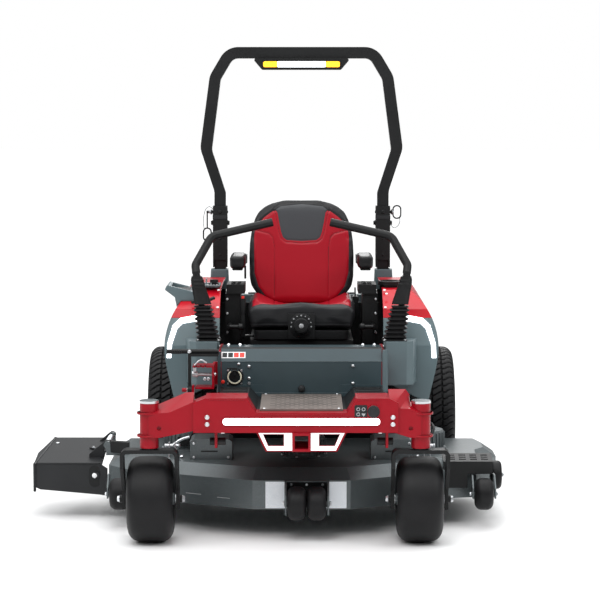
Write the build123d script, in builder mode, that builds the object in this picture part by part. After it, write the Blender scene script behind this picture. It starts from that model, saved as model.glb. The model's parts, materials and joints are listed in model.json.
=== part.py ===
"""A zero turn mower: electric, rear driven, with a side-discharge deck under the middle.

Machine frame while modelling: x = 0 on the centreline with the chute on the -x side, y = 0 on
the rear axle with the front towards -y, z = 0 on the ground.
Every piece is moved by ORIGIN on export, so the origin lies on the ground below the middle.
"""
from build123d import *
import os
from math import cos, radians, sin, tan

os.makedirs("parts", exist_ok=True)

# ---- driving dimensions (millimetres) --------------------------------------------------------
ORIGIN = (-133, -457, 0)           # middle of the overall footprint in the machine frame
LEFT, RIGHT = -1, 1
TYRE_R, TYRE_W, TRACK_HALF = 305, 300, 515     # 24 x 12.00-12 turf tyres
RIM_R = 152
CASTER_R, CASTER_W = 165, 178                  # 13 x 6.50-6 caster tyres
PIVOT_X = {LEFT: -578, RIGHT: 453}             # the swivel barrels are not the same distance out
PIVOT_Y, CASTER_TRAIL = -1400, 80
BARREL_R, STEM_R, BARREL_Z = 36, 16, (377, 548)
BEAM_FRONT, BEAM_REAR = -1450, -1350
BEAM_BOTTOM, BEAM_RECESS, BEAM_TOP = 440, 516, 571
RECEIVER_OPENING, RECEIVER_OUTER, RECEIVER_Z = 51, 63.5, 405
PIN_HOLE_R = 8
RAIL_X, RAIL_Z = (262, 322), (445, 505)        # side rails of the frame
PANEL_Y, PANEL_TOP = -950, 699
POST_X, POST_Y, TUBE = 361, 103, 50            # roll bar uprights and their square tube
FOLD_Z, LOCK_Z, HOOP_TOP = 1150, 1198, 1926
LEVER_Y, LEVER_PIVOT = -795, (362, 640)        # lap bar stub pivot (x, z) on the right side
KNUCKLE = (425, 968)                           # swing-out pivot (x, z) of the right lap bar
SEAT_HALF, RECLINE_PIVOT = 229, (-80, 800)     # recline pivot (y, z)
DECK_X, SPINDLE_STEP = 10, 490
SPINDLES = {"left": (DECK_X - SPINDLE_STEP, -680), "centre": (DECK_X, -880),
            "right": (DECK_X + SPINDLE_STEP, -680)}
DECK_BOTTOM, SKIRT_TOP, DECK_TOP = 108, 221, 262
BLADE_R, BLADE_Z = 255, 135
CHUTE_HINGE = (-792, 292)                      # (x, z) of the chute's hinge axis
PEDAL_PIVOT = (-1080, 555)                     # (y, z) of the deck lift pedal
HOOD_HINGE = (484, 722)                        # (y, z) of the rear hood's hinge
SHAFT_CLEARANCE = 0.06


# ---- helpers ---------------------------------------------------------------------------------
def save(piece, label):
    """Name a finished piece, move it over the origin and write its STEP file."""
    placed = piece.moved(Location((-ORIGIN[0], -ORIGIN[1], -ORIGIN[2])))
    placed.label = label
    export_step(placed, f"parts/{label}.step")


def block(x, y, z, mode=Mode.ADD):
    """Add a box to the open part from its three (low, high) spans."""
    with Locations(((x[0] + x[1]) / 2, (y[0] + y[1]) / 2, (z[0] + z[1]) / 2)):
        Box(abs(x[1] - x[0]), abs(y[1] - y[0]), abs(z[1] - z[0]), mode=mode)


def rod(axis, centre, span, radius, mode=Mode.ADD):
    """Add a cylinder along "x", "y" or "z" over a (low, high) span; centre gives the other two."""
    middle, length = (span[0] + span[1]) / 2, abs(span[1] - span[0])
    place, turn = {
        "x": ((middle, centre[0], centre[1]), (0, 90, 0)),
        "y": ((centre[0], middle, centre[1]), (90, 0, 0)),
        "z": ((centre[0], centre[1], middle), (0, 0, 0)),
    }[axis]
    with Locations(Location(place, turn)):
        Cylinder(radius, length, mode=mode)


def prism(outline, plane, depth, radius=0):
    """Extrude a closed outline from a plane, with its corners rounded by radius."""
    with BuildPart() as piece:
        with BuildSketch(plane) as profile:
            Polygon(*outline, align=None)
            if radius:
                fillet(profile.vertices(), radius)
        extrude(amount=depth)
    return piece.part


def along_x(outline, x_low, x_high, radius=0):
    """Extrude a (y, z) outline between two x positions."""
    return prism(outline, Plane.YZ.offset(x_low), x_high - x_low, radius)


def along_y(outline, y_low, y_high, radius=0):
    """Extrude an (x, z) outline between two y positions."""
    return prism(outline, Plane.XZ.offset(-y_high), y_high - y_low, radius)


def along_z(outline, z_low, z_high, radius=0):
    """Extrude an (x, y) outline between two heights."""
    return prism(outline, Plane.XY.offset(z_low), z_high - z_low, radius)


def rectangle(low, high):
    """The four corners of an upright rectangle from its low and high corners."""
    return [low, (high[0], low[1]), high, (low[0], high[1])]


def for_side(part, side):
    """Return a part modelled on the right as it is, or mirrored for the left."""
    return part if side == RIGHT else part.mirror(Plane.YZ)


def side_name(side):
    """The word used in the node names for a side."""
    return "right" if side == RIGHT else "left"


def arch(x_span, top, radius, y_span):
    """An upright slab from the ground to a height, with its two top corners rounded."""
    with BuildPart() as slab:
        with BuildSketch(Plane.XZ.offset(-y_span[1])) as shape:
            Polygon(*rectangle((x_span[0], 0), (x_span[1], top)), align=None)
            fillet(shape.vertices().group_by(Axis.Z)[-1], radius)
        extrude(amount=y_span[1] - y_span[0])
    return slab.part


def between(front_outline, y_front, back_outline, y_back):
    """A ruled solid between two (x, z) outlines with the same number of corners."""
    with BuildPart() as piece:
        with BuildSketch(Plane.XZ.offset(-y_front)):
            Polygon(*front_outline, align=None)
        with BuildSketch(Plane.XZ.offset(-y_back)):
            Polygon(*back_outline, align=None)
        loft(ruled=True)
    return piece.part


def ring_wheel(centre, width, radius, bore, shoulder, wall):
    """A hollow tyre about the x axis with rounded shoulders, open to its rim: centre (x, y, z)."""
    with BuildPart() as wheel:
        rod("x", centre[1:], (centre[0] - width / 2, centre[0] + width / 2), radius)
        fillet(wheel.edges().filter_by(GeomType.CIRCLE), shoulder)
        rod("x", centre[1:], (centre[0] - width / 2 + wall, centre[0] + width / 2 - wall),
            radius - 1.6 * wall, mode=Mode.SUBTRACT)
        rod("x", centre[1:], (centre[0] - width / 2 - 1, centre[0] + width / 2 + 1), bore,
            mode=Mode.SUBTRACT)
    return wheel.part


# ---- frame, front beam and receiver -------------------------------------------------------------
ARM_FRONT = {LEFT: [(-409, 446), (-409, 556), (-499, 516), (-536, 514), (-578, 514), (-578, 420),
                    (-536, 420)],
             RIGHT: [(330, 446), (330, 571), (352, 553), (373, 532), (411, 530), (453, 514),
                     (453, 420), (411, 420)]}
ARM_BACK = {LEFT: [(-409, 446), (-409, 583), (-441, 582), (-539, 539), (-578, 520), (-578, 420),
                   (-536, 420)],
            RIGHT: [(330, 446), (330, 595), (396, 595), (411, 575), (413, 546), (453, 540),
                    (453, 420), (411, 420)]}


def make_main_frame():
    """Rails, cross members, dash uprights, motor plates, roll bar base and height quadrant."""
    rail_low, rail_high = RAIL_Z
    with BuildPart() as frame:
        for side in (LEFT, RIGHT):
            inner, outer = side * RAIL_X[0], side * RAIL_X[1]
            block((inner, outer), (BEAM_REAR, 470), RAIL_Z)
            block((inner + side * 5, outer - side * 5), (BEAM_REAR, 470),
                  (rail_low + 5, rail_high - 5), mode=Mode.SUBTRACT)
            block((outer, outer + side * 12), (PANEL_Y, -640), (rail_low, 690))
            block((inner - side * 12, inner), (-80, 80), (215, rail_high))
            rod("x", (0, TYRE_R), (inner - side * 13, inner + side), 46, mode=Mode.SUBTRACT)
            block((inner, outer), (75, 135), (rail_high, 640))
            block((side * 340, side * 352), (LEVER_Y - 22, LEVER_Y + 22), (570, 662))
            block((outer + side * 12, side * 352), (LEVER_Y - 22, LEVER_Y + 22), (570, 582))
            rod("x", (LEVER_Y, LEVER_PIVOT[1]), (side * 338, side * 354), 8 + SHAFT_CLEARANCE,
                mode=Mode.SUBTRACT)
        for y in (-1300, -960, -420, 60, 410):
            block((-RAIL_X[0], RAIL_X[0]), (y, y + 60), RAIL_Z)
            block((-RAIL_X[0], RAIL_X[0]), (y + 5, y + 55), (rail_low + 5, rail_high - 5),
                  mode=Mode.SUBTRACT)
        block((-395, 395), (75, 131), (640, 690))
        # notched height quadrant beside the lift pedal
        block((-352, -344), (-1090, -938), (560, 651))
        block((-344, -334), (-950, -938), (560, 651))
        block((-428, -352), (-1090, -1000), (645, 651))
        block((-418, -352), (-1090, -1010), (560, 567))
        for x in (-418, -400, -382):
            block((x, x + 8), (-1091, -1070), (644, 652), mode=Mode.SUBTRACT)
        rod("x", (-1040, 612), (-353, -343), 6 + SHAFT_CLEARANCE, mode=Mode.SUBTRACT)
        # pedal pivot bracket, welded to the left rail and carrying the pivot rod
        block((-352, -322), (PEDAL_PIVOT[0] - 18, PEDAL_PIVOT[0] + 18), (480, 500))
        block((-430, -322), (PEDAL_PIVOT[0] - 18, PEDAL_PIVOT[0] + 18), (470, 480))
        block((-430, -422), (PEDAL_PIVOT[0] - 18, PEDAL_PIVOT[0] + 18), (480, 575))
        rod("x", PEDAL_PIVOT, (-470, -423), 8)
    save(frame.part, "main_frame")


def make_front_beam():
    """The front axle beam with its arms, swivel barrels, receiver and gussets."""
    front = [(-409, BEAM_BOTTOM), (366, BEAM_BOTTOM), (366, 553), (330, BEAM_TOP), (205, BEAM_TOP),
             (172, BEAM_RECESS), (-172, BEAM_RECESS), (-205, BEAM_TOP), (-364, BEAM_TOP),
             (-409, 553)]
    inside = [(-403, 446), (360, 446), (360, 549), (329, 565), (209, 565), (176, 510), (-176, 510),
              (-209, 565), (-363, 565), (-403, 549)]
    with BuildPart() as beam:
        add(along_y(front, BEAM_FRONT, BEAM_REAR))
        add(along_y(inside, BEAM_FRONT + 6, BEAM_REAR - 6), mode=Mode.SUBTRACT)
        for x_low, x_high in ((-364, -205), (205, 330)):
            block((x_low, x_high), (BEAM_REAR, BEAM_REAR + 60), (BEAM_TOP - 8, BEAM_TOP))
        for side, pivot in PIVOT_X.items():
            add(between(ARM_FRONT[side], BEAM_FRONT + 8, ARM_BACK[side], BEAM_REAR - 8))
            for z_low in (420, 506):
                rod("z", (pivot, PIVOT_Y), (z_low, z_low + 8), BARREL_R + 10)
            rod("z", (pivot, PIVOT_Y), BARREL_Z, BARREL_R)
            rod("z", (pivot, PIVOT_Y), (BARREL_Z[0] - 1, BARREL_Z[1] + 1),
                STEM_R + SHAFT_CLEARANCE, mode=Mode.SUBTRACT)
            # transport tie ring on the inner side of the barrel
            ring_x = pivot - side * (BARREL_R + 4)
            rod("y", (ring_x, 456), (PIVOT_Y - 42, PIVOT_Y - 34), 14)
            rod("y", (ring_x, 456), (PIVOT_Y - 43, PIVOT_Y - 33), 8, mode=Mode.SUBTRACT)
        # receiver tube, collar and the spacer that carries it
        half, hole = RECEIVER_OUTER / 2, RECEIVER_OPENING / 2
        z_mid = RECEIVER_Z
        block((-half, half), (-1455, -1260), (z_mid - half, z_mid + half))
        block((-35, 35), (-1465, -1445), (z_mid - 35, BEAM_BOTTOM))
        block((-30, 30), (BEAM_FRONT + 10, BEAM_REAR), (z_mid + half, BEAM_BOTTOM))
        # gussets beside the receiver, each a plate with a window
        for side in (LEFT, RIGHT):
            plate = [(side * 31, BEAM_BOTTOM), (side * 172, BEAM_BOTTOM), (side * 135, 366),
                     (side * 31, 366)]
            window = [(side * 68, 431), (side * 144, 431), (side * 125, 389), (side * 68, 389)]
            add(along_y(plate, -1432, -1424))
            add(along_y(window, -1433, -1423), mode=Mode.SUBTRACT)
            block((side * 319, side * 329), (-1420, -1370), (378, BEAM_BOTTOM))
            rod("x", (-1395, 400), (side * 290, side * 345), 12)
        block((-hole, hole), (-1466, -1259), (z_mid - hole, z_mid + hole), mode=Mode.SUBTRACT)
        rod("x", (-1300, z_mid), (-40, 40), PIN_HOLE_R, mode=Mode.SUBTRACT)
    save(beam.part, "front_axle_beam")


def make_fasteners():
    """Bolts, barrel caps and panel screws of the chassis, as separate solids."""
    screws = [(-250, 643), (-209, 634), (-209, 586), (-209, 566), (205, 636), (205, 566)]
    port_screws = [(-293, 618), (-240, 618), (-293, 565), (-240, 565)]
    with BuildPart() as fasteners:
        for x in (-356, 345):
            for z in (473, 500):
                rod("y", (x, z), (BEAM_FRONT - 6, BEAM_FRONT), 7)
        for side in (LEFT, RIGHT):
            rod("z", (PIVOT_X[side], PIVOT_Y), (BARREL_Z[1], BARREL_Z[1] + 9), BARREL_R + 1)
            rod("x", (PANEL_Y + 22, 645), (side * 334, side * 339), 6)
        for x, z in screws:
            rod("y", (x, z), (PANEL_Y - 8, PANEL_Y - 4), 6)
        for x, z in port_screws:
            rod("y", (x, z), (PANEL_Y - 7, PANEL_Y - 4), 4)
        rod("y", (272, 522), (BEAM_FRONT - 8, BEAM_FRONT), 23)
    save(fasteners.part, "chassis_fasteners")


def make_floor():
    """The folded floor pan and the slotted tread plate that lies in its middle."""
    section = [(-321, 548), (-208, 548), (-172, 509), (172, 509), (208, 548), (321, 548), (321, 552),
               (206, 552), (170, 513), (-170, 513), (-206, 552), (-321, 552)]
    with BuildPart() as pan:
        add(along_y(section, BEAM_REAR + 1, PANEL_Y - 6))
    save(pan.part, "floor_pan")
    with BuildPart() as tread:
        block((-158, 158), (-1402, -958), (520, 524))
        for y in (-1402, -962):
            block((-158, 158), (y, y + 4), (516, 520))
        for row in range(12):
            shift = 18 if row % 2 else 0
            with Locations((shift, -1376 + row * 34, 522)):
                with GridLocations(36, 1, 7, 1):
                    Box(25, 9, 10, mode=Mode.SUBTRACT)
    save(tread.part, "tread_plate")


def make_front_panel():
    """The dash panel: a folded sheet with the charge port housing on its left end."""
    fold = 653
    section = [(PANEL_Y - 4, 526), (PANEL_Y, 526), (PANEL_Y, fold - 2), (-908, PANEL_TOP - 4),
               (-760, PANEL_TOP - 4), (-760, PANEL_TOP), (-910, PANEL_TOP), (PANEL_Y - 4, fold)]
    with BuildPart() as panel:
        add(along_x(section, -321, 321))
        for side in (LEFT, RIGHT):
            block((side * 165, side * 322), (PANEL_Y - 5, PANEL_Y + 1), (525, 556),
                  mode=Mode.SUBTRACT)
        rod("y", (-267, 592), (PANEL_Y - 12, PANEL_Y - 4), 28)
        rod("y", (-267, 592), (PANEL_Y - 13, PANEL_Y + 30), 21, mode=Mode.SUBTRACT)
        rod("y", (-313, 572), (PANEL_Y - 8, PANEL_Y - 4), 7)
        for x in (-282, -257):
            block((x, x + 5), (PANEL_Y - 20, PANEL_Y - 11), (614, 622))
        rod("x", (PANEL_Y - 16, 618), (-282, -252), 2)
    save(panel.part, "front_panel")
    with BuildPart() as cap:
        rod("y", (-267, 592), (PANEL_Y - 11, PANEL_Y - 5), 19.4)
        rod("x", (PANEL_Y - 16, 618), (-276.5, -257.5), 3.6)
        block((-272, -262), (PANEL_Y - 18, PANEL_Y - 13), (600, 616))
        block((-272, -262), (PANEL_Y - 18, PANEL_Y - 8), (598, 608))
        rod("x", (PANEL_Y - 16, 618), (-277, -257), 2 + SHAFT_CLEARANCE, mode=Mode.SUBTRACT)
    save(cap.part, "charge_port_cap")


# ---- fenders, lamps and controls ----------------------------------------------------------------
FENDER_SPLIT, SHELL = 800, 5


def fender_body(inset):
    """The right fender's outer volume, drawn in by inset: front view crossed with side view."""
    with BuildPart() as body:
        with BuildSketch(Plane.XZ.offset(-480 + inset)):
            with BuildLine():
                Polyline((336 - inset, 545), (505 - inset, 462), (522 - inset, 470))
                Spline((522 - inset, 470), (548 - inset, 580), (562 - inset, 680), (532 - inset, 810),
                       (438 - inset, 916 - inset))
                Polyline((438 - inset, 916 - inset), (318, 916 - inset), (318, 545),
                         (336 - inset, 545))
            make_face()
        extrude(amount=1300)
    side = [(-728 + inset, 440), (-712 + inset, 690), (-655 + inset, 835 - inset),
            (-540 + inset, 905 - inset), (-300, 917 - inset), (40, 912 - inset),
            (320 - inset, 860 - inset), (455 - inset, 760 - inset), (470 - inset, 640),
            (470 - inset, 440)]
    with BuildPart() as side_view:
        add(along_x(side, 300, 620))
    return body.part & side_view.part


def make_fenders():
    """Grey fender shells with lever shelf, red fender tops and the lamp strips."""
    outer, inner = fender_body(0), fender_body(SHELL)
    with BuildPart() as skin:
        add(outer)
        add(inner, mode=Mode.SUBTRACT)
        rod("x", (0, TYRE_R), (300, 640), TYRE_R + 38, mode=Mode.SUBTRACT)
        block((300, 408), (45, 600), (400, 1000), mode=Mode.SUBTRACT)
        block((300, 336), (-800, 600), (400, 1000), mode=Mode.SUBTRACT)
        block((300, 640), (-340, 600), (400, 640), mode=Mode.SUBTRACT)
    with BuildPart() as shelf:
        shape = [(339, -858), (424, -858), (452, -838), (470, -728), (339, -728)]
        hollow = [(334, -853), (422, -853), (448, -834), (464, -720), (334, -720)]
        add(along_z(shape, 545, 722))
        add(along_z(hollow, 540, 717), mode=Mode.SUBTRACT)
        block((346, 414), (LEVER_Y - 44, LEVER_Y + 44), (710, 730), mode=Mode.SUBTRACT)
    band = [(430, 812), (498, 800), (528, 772), (549, 700), (552, 640), (534, 640), (531, 696),
            (510, 758), (488, 778), (430, 788)]
    with BuildPart() as proud:
        add(fender_body(-3))
        add(fender_body(0), mode=Mode.SUBTRACT)
    lamp = proud.part & along_y(band, -760, -560)
    cup_hole = Pos(372, -430, 900) * Cylinder(45, 90)
    for side in (LEFT, RIGHT):
        with BuildPart() as shell:
            add(skin.part)
            block((300, 640), (-900, 600), (FENDER_SPLIT, 1000), mode=Mode.SUBTRACT)
            add(shelf.part)
        save(for_side(shell.part, side), f"fender_shell_{side_name(side)}")
    with BuildPart() as top:
        add(skin.part)
        block((300, 640), (-900, 600), (400, FENDER_SPLIT), mode=Mode.SUBTRACT)
    with BuildPart() as tops:
        add(for_side(top.part, LEFT))
        add(top.part - cup_hole)
    save(tops.part, "fender_tops")
    with BuildPart() as lamps:
        strip = [(-297, 470), (296, 470), (296, 496), (-297, 496)]
        add(along_y(strip, BEAM_FRONT - 6, BEAM_FRONT, 12.5))
        for side in (LEFT, RIGHT):
            add(for_side(lamp, side))
            block((side * 235, side * 305), (500, 508), (455, 490))
    save(lamps.part, "lamp_strips")


def make_controls():
    """Cup holder, control pod with its switches, and the fender mounted console."""
    with BuildPart() as cup:
        rod("z", (372, -430), (838, 926), 42)
        rod("z", (372, -430), (918, 930), 49)
        fillet(cup.faces().sort_by(Axis.Z)[-1].edges(), 4)
        rod("z", (372, -430), (842, 931), 38, mode=Mode.SUBTRACT)
    save(cup.part, "cup_holder")
    pod = [(-566, 912), (-556, 930), (-446, 902), (-436, 868), (-446, 828), (-516, 838), (-524, 880)]
    with BuildPart() as console:
        add(along_y(pod, -610, -400, 6))
        add(for_side(fender_body(-0.5), LEFT), mode=Mode.SUBTRACT)
        block((-540, -462), (-590, -420), (905, 960), mode=Mode.SUBTRACT)
        block((-430, -340), (-560, -380), (917, 923))
        rod("z", (-400, -440), (916, 924), 10 + SHAFT_CLEARANCE, mode=Mode.SUBTRACT)
        rod("z", (-365, -520), (916, 924), 11 + SHAFT_CLEARANCE, mode=Mode.SUBTRACT)
    save(console.part, "control_console")
    with BuildPart() as key:
        rod("z", (-400, -440), (917, 926), 10)
        block((-403, -397), (-452, -428), (926, 944))
    save(key.part, "key_switch")
    with BuildPart() as knob:
        rod("z", (-365, -520), (917, 936), 11)
        rod("z", (-365, -520), (934, 946), 17)
    save(knob.part, "blade_switch")


# ---- roll bar ---------------------------------------------------------------------------------
def square_hoop(outer, inner, front, back, corner):
    """A square tube bent in its own plane, from its outer and inner outlines."""
    with BuildPart() as tube:
        with BuildSketch(Plane.XZ.offset(-back)):
            with BuildLine():
                FilletPolyline(*outer, radius=corner + TUBE)
                FilletPolyline(*inner, radius=corner)
                Line(outer[0], inner[0])
                Line(outer[-1], inner[-1])
            make_face()
        extrude(amount=back - front)
    return tube.part


def pin_slot():
    """The right locking pin's slot: an arc about the fold pivot that is open to the rear."""
    reach = LOCK_Z - FOLD_Z
    with BuildPart() as slot:
        rod("x", (POST_Y, FOLD_Z), (320, 402), reach + 7)
        rod("x", (POST_Y, FOLD_Z), (319, 403), reach - 7, mode=Mode.SUBTRACT)
        block((318, 404), (POST_Y - 90, POST_Y), (1050, 1300), mode=Mode.SUBTRACT)
        block((318, 404), (POST_Y - 90, POST_Y + 90), (1050, FOLD_Z - 7), mode=Mode.SUBTRACT)
        rod("x", (POST_Y, LOCK_Z), (320, 402), 7)
    return slot.part


def make_roll_bar():
    """Posts with brackets and sleeves, folding hoop, light bar and locking pins."""
    half = TUBE / 2
    y_front, y_back = POST_Y - half, POST_Y + half
    slot = pin_slot()
    with BuildPart() as posts:
        for side in (LEFT, RIGHT):
            low, high = side * (POST_X - half), side * (POST_X + half)
            block((low, high), (y_front, y_back), (690, FOLD_Z - half - 6))
            block((low + side * 4, high - side * 4), (y_front + 4, y_back - 4), (689, 1110),
                  mode=Mode.SUBTRACT)
            for x in (side * (POST_X - half - 7), side * (POST_X + half + 1)):
                profile = [(y_front - 8, 954), (y_front + 30, 954), (y_back + 8, 986),
                           (y_back + 8, 1226), (y_front - 8, 1226)]
                add(along_x(profile, x if side == RIGHT else x - 6, x + 6 if side == RIGHT else x))
            block((low - side * 7, high + side * 7), (y_front - 8, y_front - 2), (986, 1226))
            block((low - side, high + side), (y_front - 2, y_front), (990, 1100))
            add(for_side(slot, side), mode=Mode.SUBTRACT)
            rod("x", (POST_Y, FOLD_Z), (side * 326, side * 396), 9)
            # sleeve where the post enters the fender
            block((low - side * 8, high + side * 14), (y_front - 14, y_front - 9), (860, 940))
            for x in (low - side * 8, high + side * 9):
                block((x, x + side * 5), (y_front - 9, y_back + 9), (860, 940))
            block((low - side * 8, high + side * 14), (y_back + 9, y_back + 14), (860, 940))
    save(posts.part, "rops_posts")
    outer = [(-386, FOLD_Z), (-386, 1292), (-448, 1480), (-405, 1800), (-330, HOOP_TOP),
             (330, HOOP_TOP), (405, 1800), (448, 1480), (386, 1292), (386, FOLD_Z)]
    inner = [(-336, FOLD_Z), (-336, 1284), (-397, 1474), (-357, 1784), (-302, 1876),
             (302, 1876), (357, 1784), (397, 1474), (336, 1284), (336, FOLD_Z)]
    with BuildPart() as hoop:
        add(square_hoop(outer, inner, y_front, y_back, 40))
        for side in (LEFT, RIGHT):
            low, high = side * (POST_X - half), side * (POST_X + half)
            rod("x", (POST_Y, FOLD_Z), (low, high), half)
            rod("x", (POST_Y, FOLD_Z), (low - side, high + side), 9 + SHAFT_CLEARANCE,
                mode=Mode.SUBTRACT)
            rod("x", (POST_Y, LOCK_Z), (low - side, high + side), 6 + SHAFT_CLEARANCE,
                mode=Mode.SUBTRACT)
    save(hoop.part, "rops_hoop")
    housing = [(-217, 1876), (217, 1876), (174, 1826), (-174, 1826)]
    with BuildPart() as light:
        add(along_y(housing, 56, y_back, 8))
        block((-168, 168), (55, 62), (1837, 1863), mode=Mode.SUBTRACT)
        for x_low, x_high in ((-168, -106), (-105, 105), (106, 168)):
            block((x_low, x_high), (54, 62), (1837, 1863))
    save(light.part, "light_bar")
    with BuildPart() as pin:
        rod("x", (POST_Y, LOCK_Z), (326, 410), 6)
        rod("x", (POST_Y, LOCK_Z), (396, 402), 10)
        add(along_y(rectangle((404, 1167), (444, 1229)), POST_Y - 3, POST_Y + 3, 19))
        add(along_y(rectangle((410, 1173), (438, 1223)), POST_Y - 4, POST_Y + 4, 13.5),
            mode=Mode.SUBTRACT)
    save(pin.part, "rops_pin_right")
    with BuildPart() as pin:
        rod("x", (POST_Y, LOCK_Z), (-422, -326), 6)
        rod("x", (POST_Y, LOCK_Z), (-402, -396), 10)
        rod("z", (-419, POST_Y), (1126, LOCK_Z), 3)
        add(along_y(rectangle((-439, 1067), (-399, 1129)), POST_Y - 3, POST_Y + 3, 19))
        add(along_y(rectangle((-433, 1073), (-405, 1123)), POST_Y - 4, POST_Y + 4, 13.5),
            mode=Mode.SUBTRACT)
    save(pin.part, "rops_pin_left")


# ---- rear body, seat and levers --------------------------------------------------------------------
def make_rear():
    """Battery pack, wheel motors, rear guard with hitch plate, and the hinged hood."""
    with BuildPart() as battery:
        block((-240, 240), (150, 440), (506, 716))
        fillet(battery.edges().filter_by(Axis.Z), 14)
        for x in (-150, 0, 150):
            block((x - 40, x + 40), (170, 420), (716, 724))
    save(battery.part, "battery_pack")
    with BuildPart() as motors:
        for side in (LEFT, RIGHT):
            rod("x", (0, TYRE_R), (side * 120, side * 249), 78)
            rod("x", (0, TYRE_R), (side * 249, side * 356), 45)
            rod("x", (0, TYRE_R), (side * 356, side * 420), 18)
            for y in (-60, 60):
                rod("x", (y, TYRE_R), (side * 232, side * 249), 11)
    save(motors.part, "drive_motors")
    with BuildPart() as guard:
        block((-322, 322), (470, 500), (440, 510))
        block((-316, 316), (476, 494), (446, 504), mode=Mode.SUBTRACT)
        for side in (LEFT, RIGHT):
            block((side * 322, side * 420), (470, 500), (455, 495))
            rod("z", (side * 420, 485), (455, 690), 15)
        block((-60, 60), (500, 571), (440, 450))
        fillet(guard.edges().filter_by(Axis.Z).group_by(Axis.Y)[-1], 24)
        for x in (-234, -204, 196, 226):
            block((x, x + 8), (HOOD_HINGE[0] - 7, HOOD_HINGE[0] + 7), (508, HOOD_HINGE[1]))
            rod("x", HOOD_HINGE, (x, x + 8), 7)
        for x in (-234, 196):
            rod("x", HOOD_HINGE, (x, x + 38), 4)
        rod("z", (0, 540), (430, 460), 9.75, mode=Mode.SUBTRACT)
    save(guard.part, "rear_guard")
    hood = [(146, 742), (470, 742), (470, 720), (476, 720), (476, 762), (420, 800), (240, 822),
            (146, 826)]
    hollow = [(151, 730), (470, 730), (470, 760), (417, 795), (240, 817), (151, 821)]
    with BuildPart() as cover:
        add(along_x(hood, -316, 316))
        add(along_x(hollow, -311, 311), mode=Mode.SUBTRACT)
        for x in (-224, 206):
            block((x, x + 18), (474, HOOD_HINGE[0]), (718, 728))
            rod("x", HOOD_HINGE, (x, x + 18), 8)
            rod("x", HOOD_HINGE, (x - 1, x + 19), 4 + SHAFT_CLEARANCE, mode=Mode.SUBTRACT)
    save(cover.part, "rear_hood")


def make_seat():
    """Pedestal with side towers, suspension, pan, cushions, armrests and the small controls."""
    with BuildPart() as pedestal:
        block((-205, 205), (-560, -130), (505, 640))
        block((-199, 199), (-554, -136), (504, 634), mode=Mode.SUBTRACT)
        for side in (LEFT, RIGHT):
            block((side * 256, side * 320), (-470, -300), (505, 884))
            block((side * 261, side * 315), (-465, -305), (504, 870), mode=Mode.SUBTRACT)
            block((side * 238, side * 314), (-484, -292), (884, 922))
            with Locations((side * 276, -388, 920)):
                with GridLocations(24, 40, 2, 4):
                    Box(16, 28, 8, mode=Mode.SUBTRACT)
    save(pedestal.part, "seat_pedestal")
    with BuildPart() as suspension:
        block((-214, 214), (-590, -110), (690, 700))
        for y_low in (-590, -118):
            block((-214, 214), (y_low, y_low + 8), (664, 690))
        for side in (LEFT, RIGHT):
            block((side * 210, side * 214), (-582, -118), (664, 690))
    save(suspension.part, "seat_suspension")
    with BuildPart() as pan:
        block((-197, 197), (-600, -100), (704, 740))
        fillet(pan.edges().filter_by(Axis.Z), 24)
        block((-185, 185), (-585, -115), (700, 728), mode=Mode.SUBTRACT)
        for x in (-150, 150):
            block((x - 14, x + 14), (-560, -130), (701, 728))
        block((-56, 56), (-612, -600), (706, 812))
        for side in (LEFT, RIGHT):
            bracket = [(-130, 706), (-58, 706), (-52, 800), (-66, 826), (-94, 826), (-108, 800)]
            add(along_x(bracket, *sorted((side * 204, side * 212))))
            block((side * 190, side * 212), (-130, -100), (706, 722))
            rod("x", RECLINE_PIVOT, (side * 152, side * 204), 8)
        block((-252, -180), (-546, -520), (708, 716))
        block((-252, -236), (-546, -526), (716, 868))
        block((-250, -238), (-542, -530), (846, 869), mode=Mode.SUBTRACT)
    save(pan.part, "seat_pan")
    with BuildPart() as button:
        block((-249.6, -238.4), (-541.6, -530.4), (852, 878))
    save(button.part, "buckle_button")
    with BuildPart() as knob:
        rod("y", (-1, 763), (-640, -612.5), 31)
        fillet(knob.edges().filter_by(GeomType.CIRCLE).sort_by(Axis.Y)[0], 5)
        rod("y", (-1, 763), (-618, -612.5), 50)
    save(knob.part, "suspension_knob")
    cushion = [(-598, 742), (-122, 742), (-122, 846), (-200, 846), (-420, 838), (-560, 856),
               (-598, 838)]
    with BuildPart() as pad:
        add(along_x(cushion, -SEAT_HALF, SEAT_HALF))
        fillet(pad.edges().filter_by(Axis.Z), 40)
    save(pad.part, "seat_cushion")
    lean = Plane(origin=(0, RECLINE_PIVOT[0] - 40, RECLINE_PIVOT[1]), x_dir=(1, 0, 0),
                 z_dir=(0, cos(radians(8)), sin(radians(8)) * -1))
    with BuildPart() as back:
        with BuildSketch(lean):
            outline = [(-170, 52), (-SEAT_HALF, 190), (-SEAT_HALF, 330), (-150, 460), (150, 460),
                       (SEAT_HALF, 330), (SEAT_HALF, 190), (170, 52)]
            Polygon(*[(x, -z) for x, z in outline], align=None)
            fillet(vertices(), 45)
        extrude(amount=88)
        for side in (LEFT, RIGHT):
            rod("x", RECLINE_PIVOT, (side * 150, side * 175), 22)
            block((side * 150, side * 172), (-96, -62), (800, 880))
            rod("x", RECLINE_PIVOT, (side * 149, side * 176), 8 + SHAFT_CLEARANCE,
                mode=Mode.SUBTRACT)
    save(back.part, "seat_backrest")
    for side in (LEFT, RIGHT):
        with BuildPart() as rest:
            block((236, 306), (-400, -128), (974, 1036))
            fillet(rest.edges(), 14)
            block((236, 246), (-140, -88), (985, 1025))
            rod("x", (-88, 1005), (236, 246), 20)
            if side == LEFT:
                rod("z", (242, -235), (928, 976), 4)
        save(for_side(rest.part, side), f"armrest_{side_name(side)}")


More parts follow.
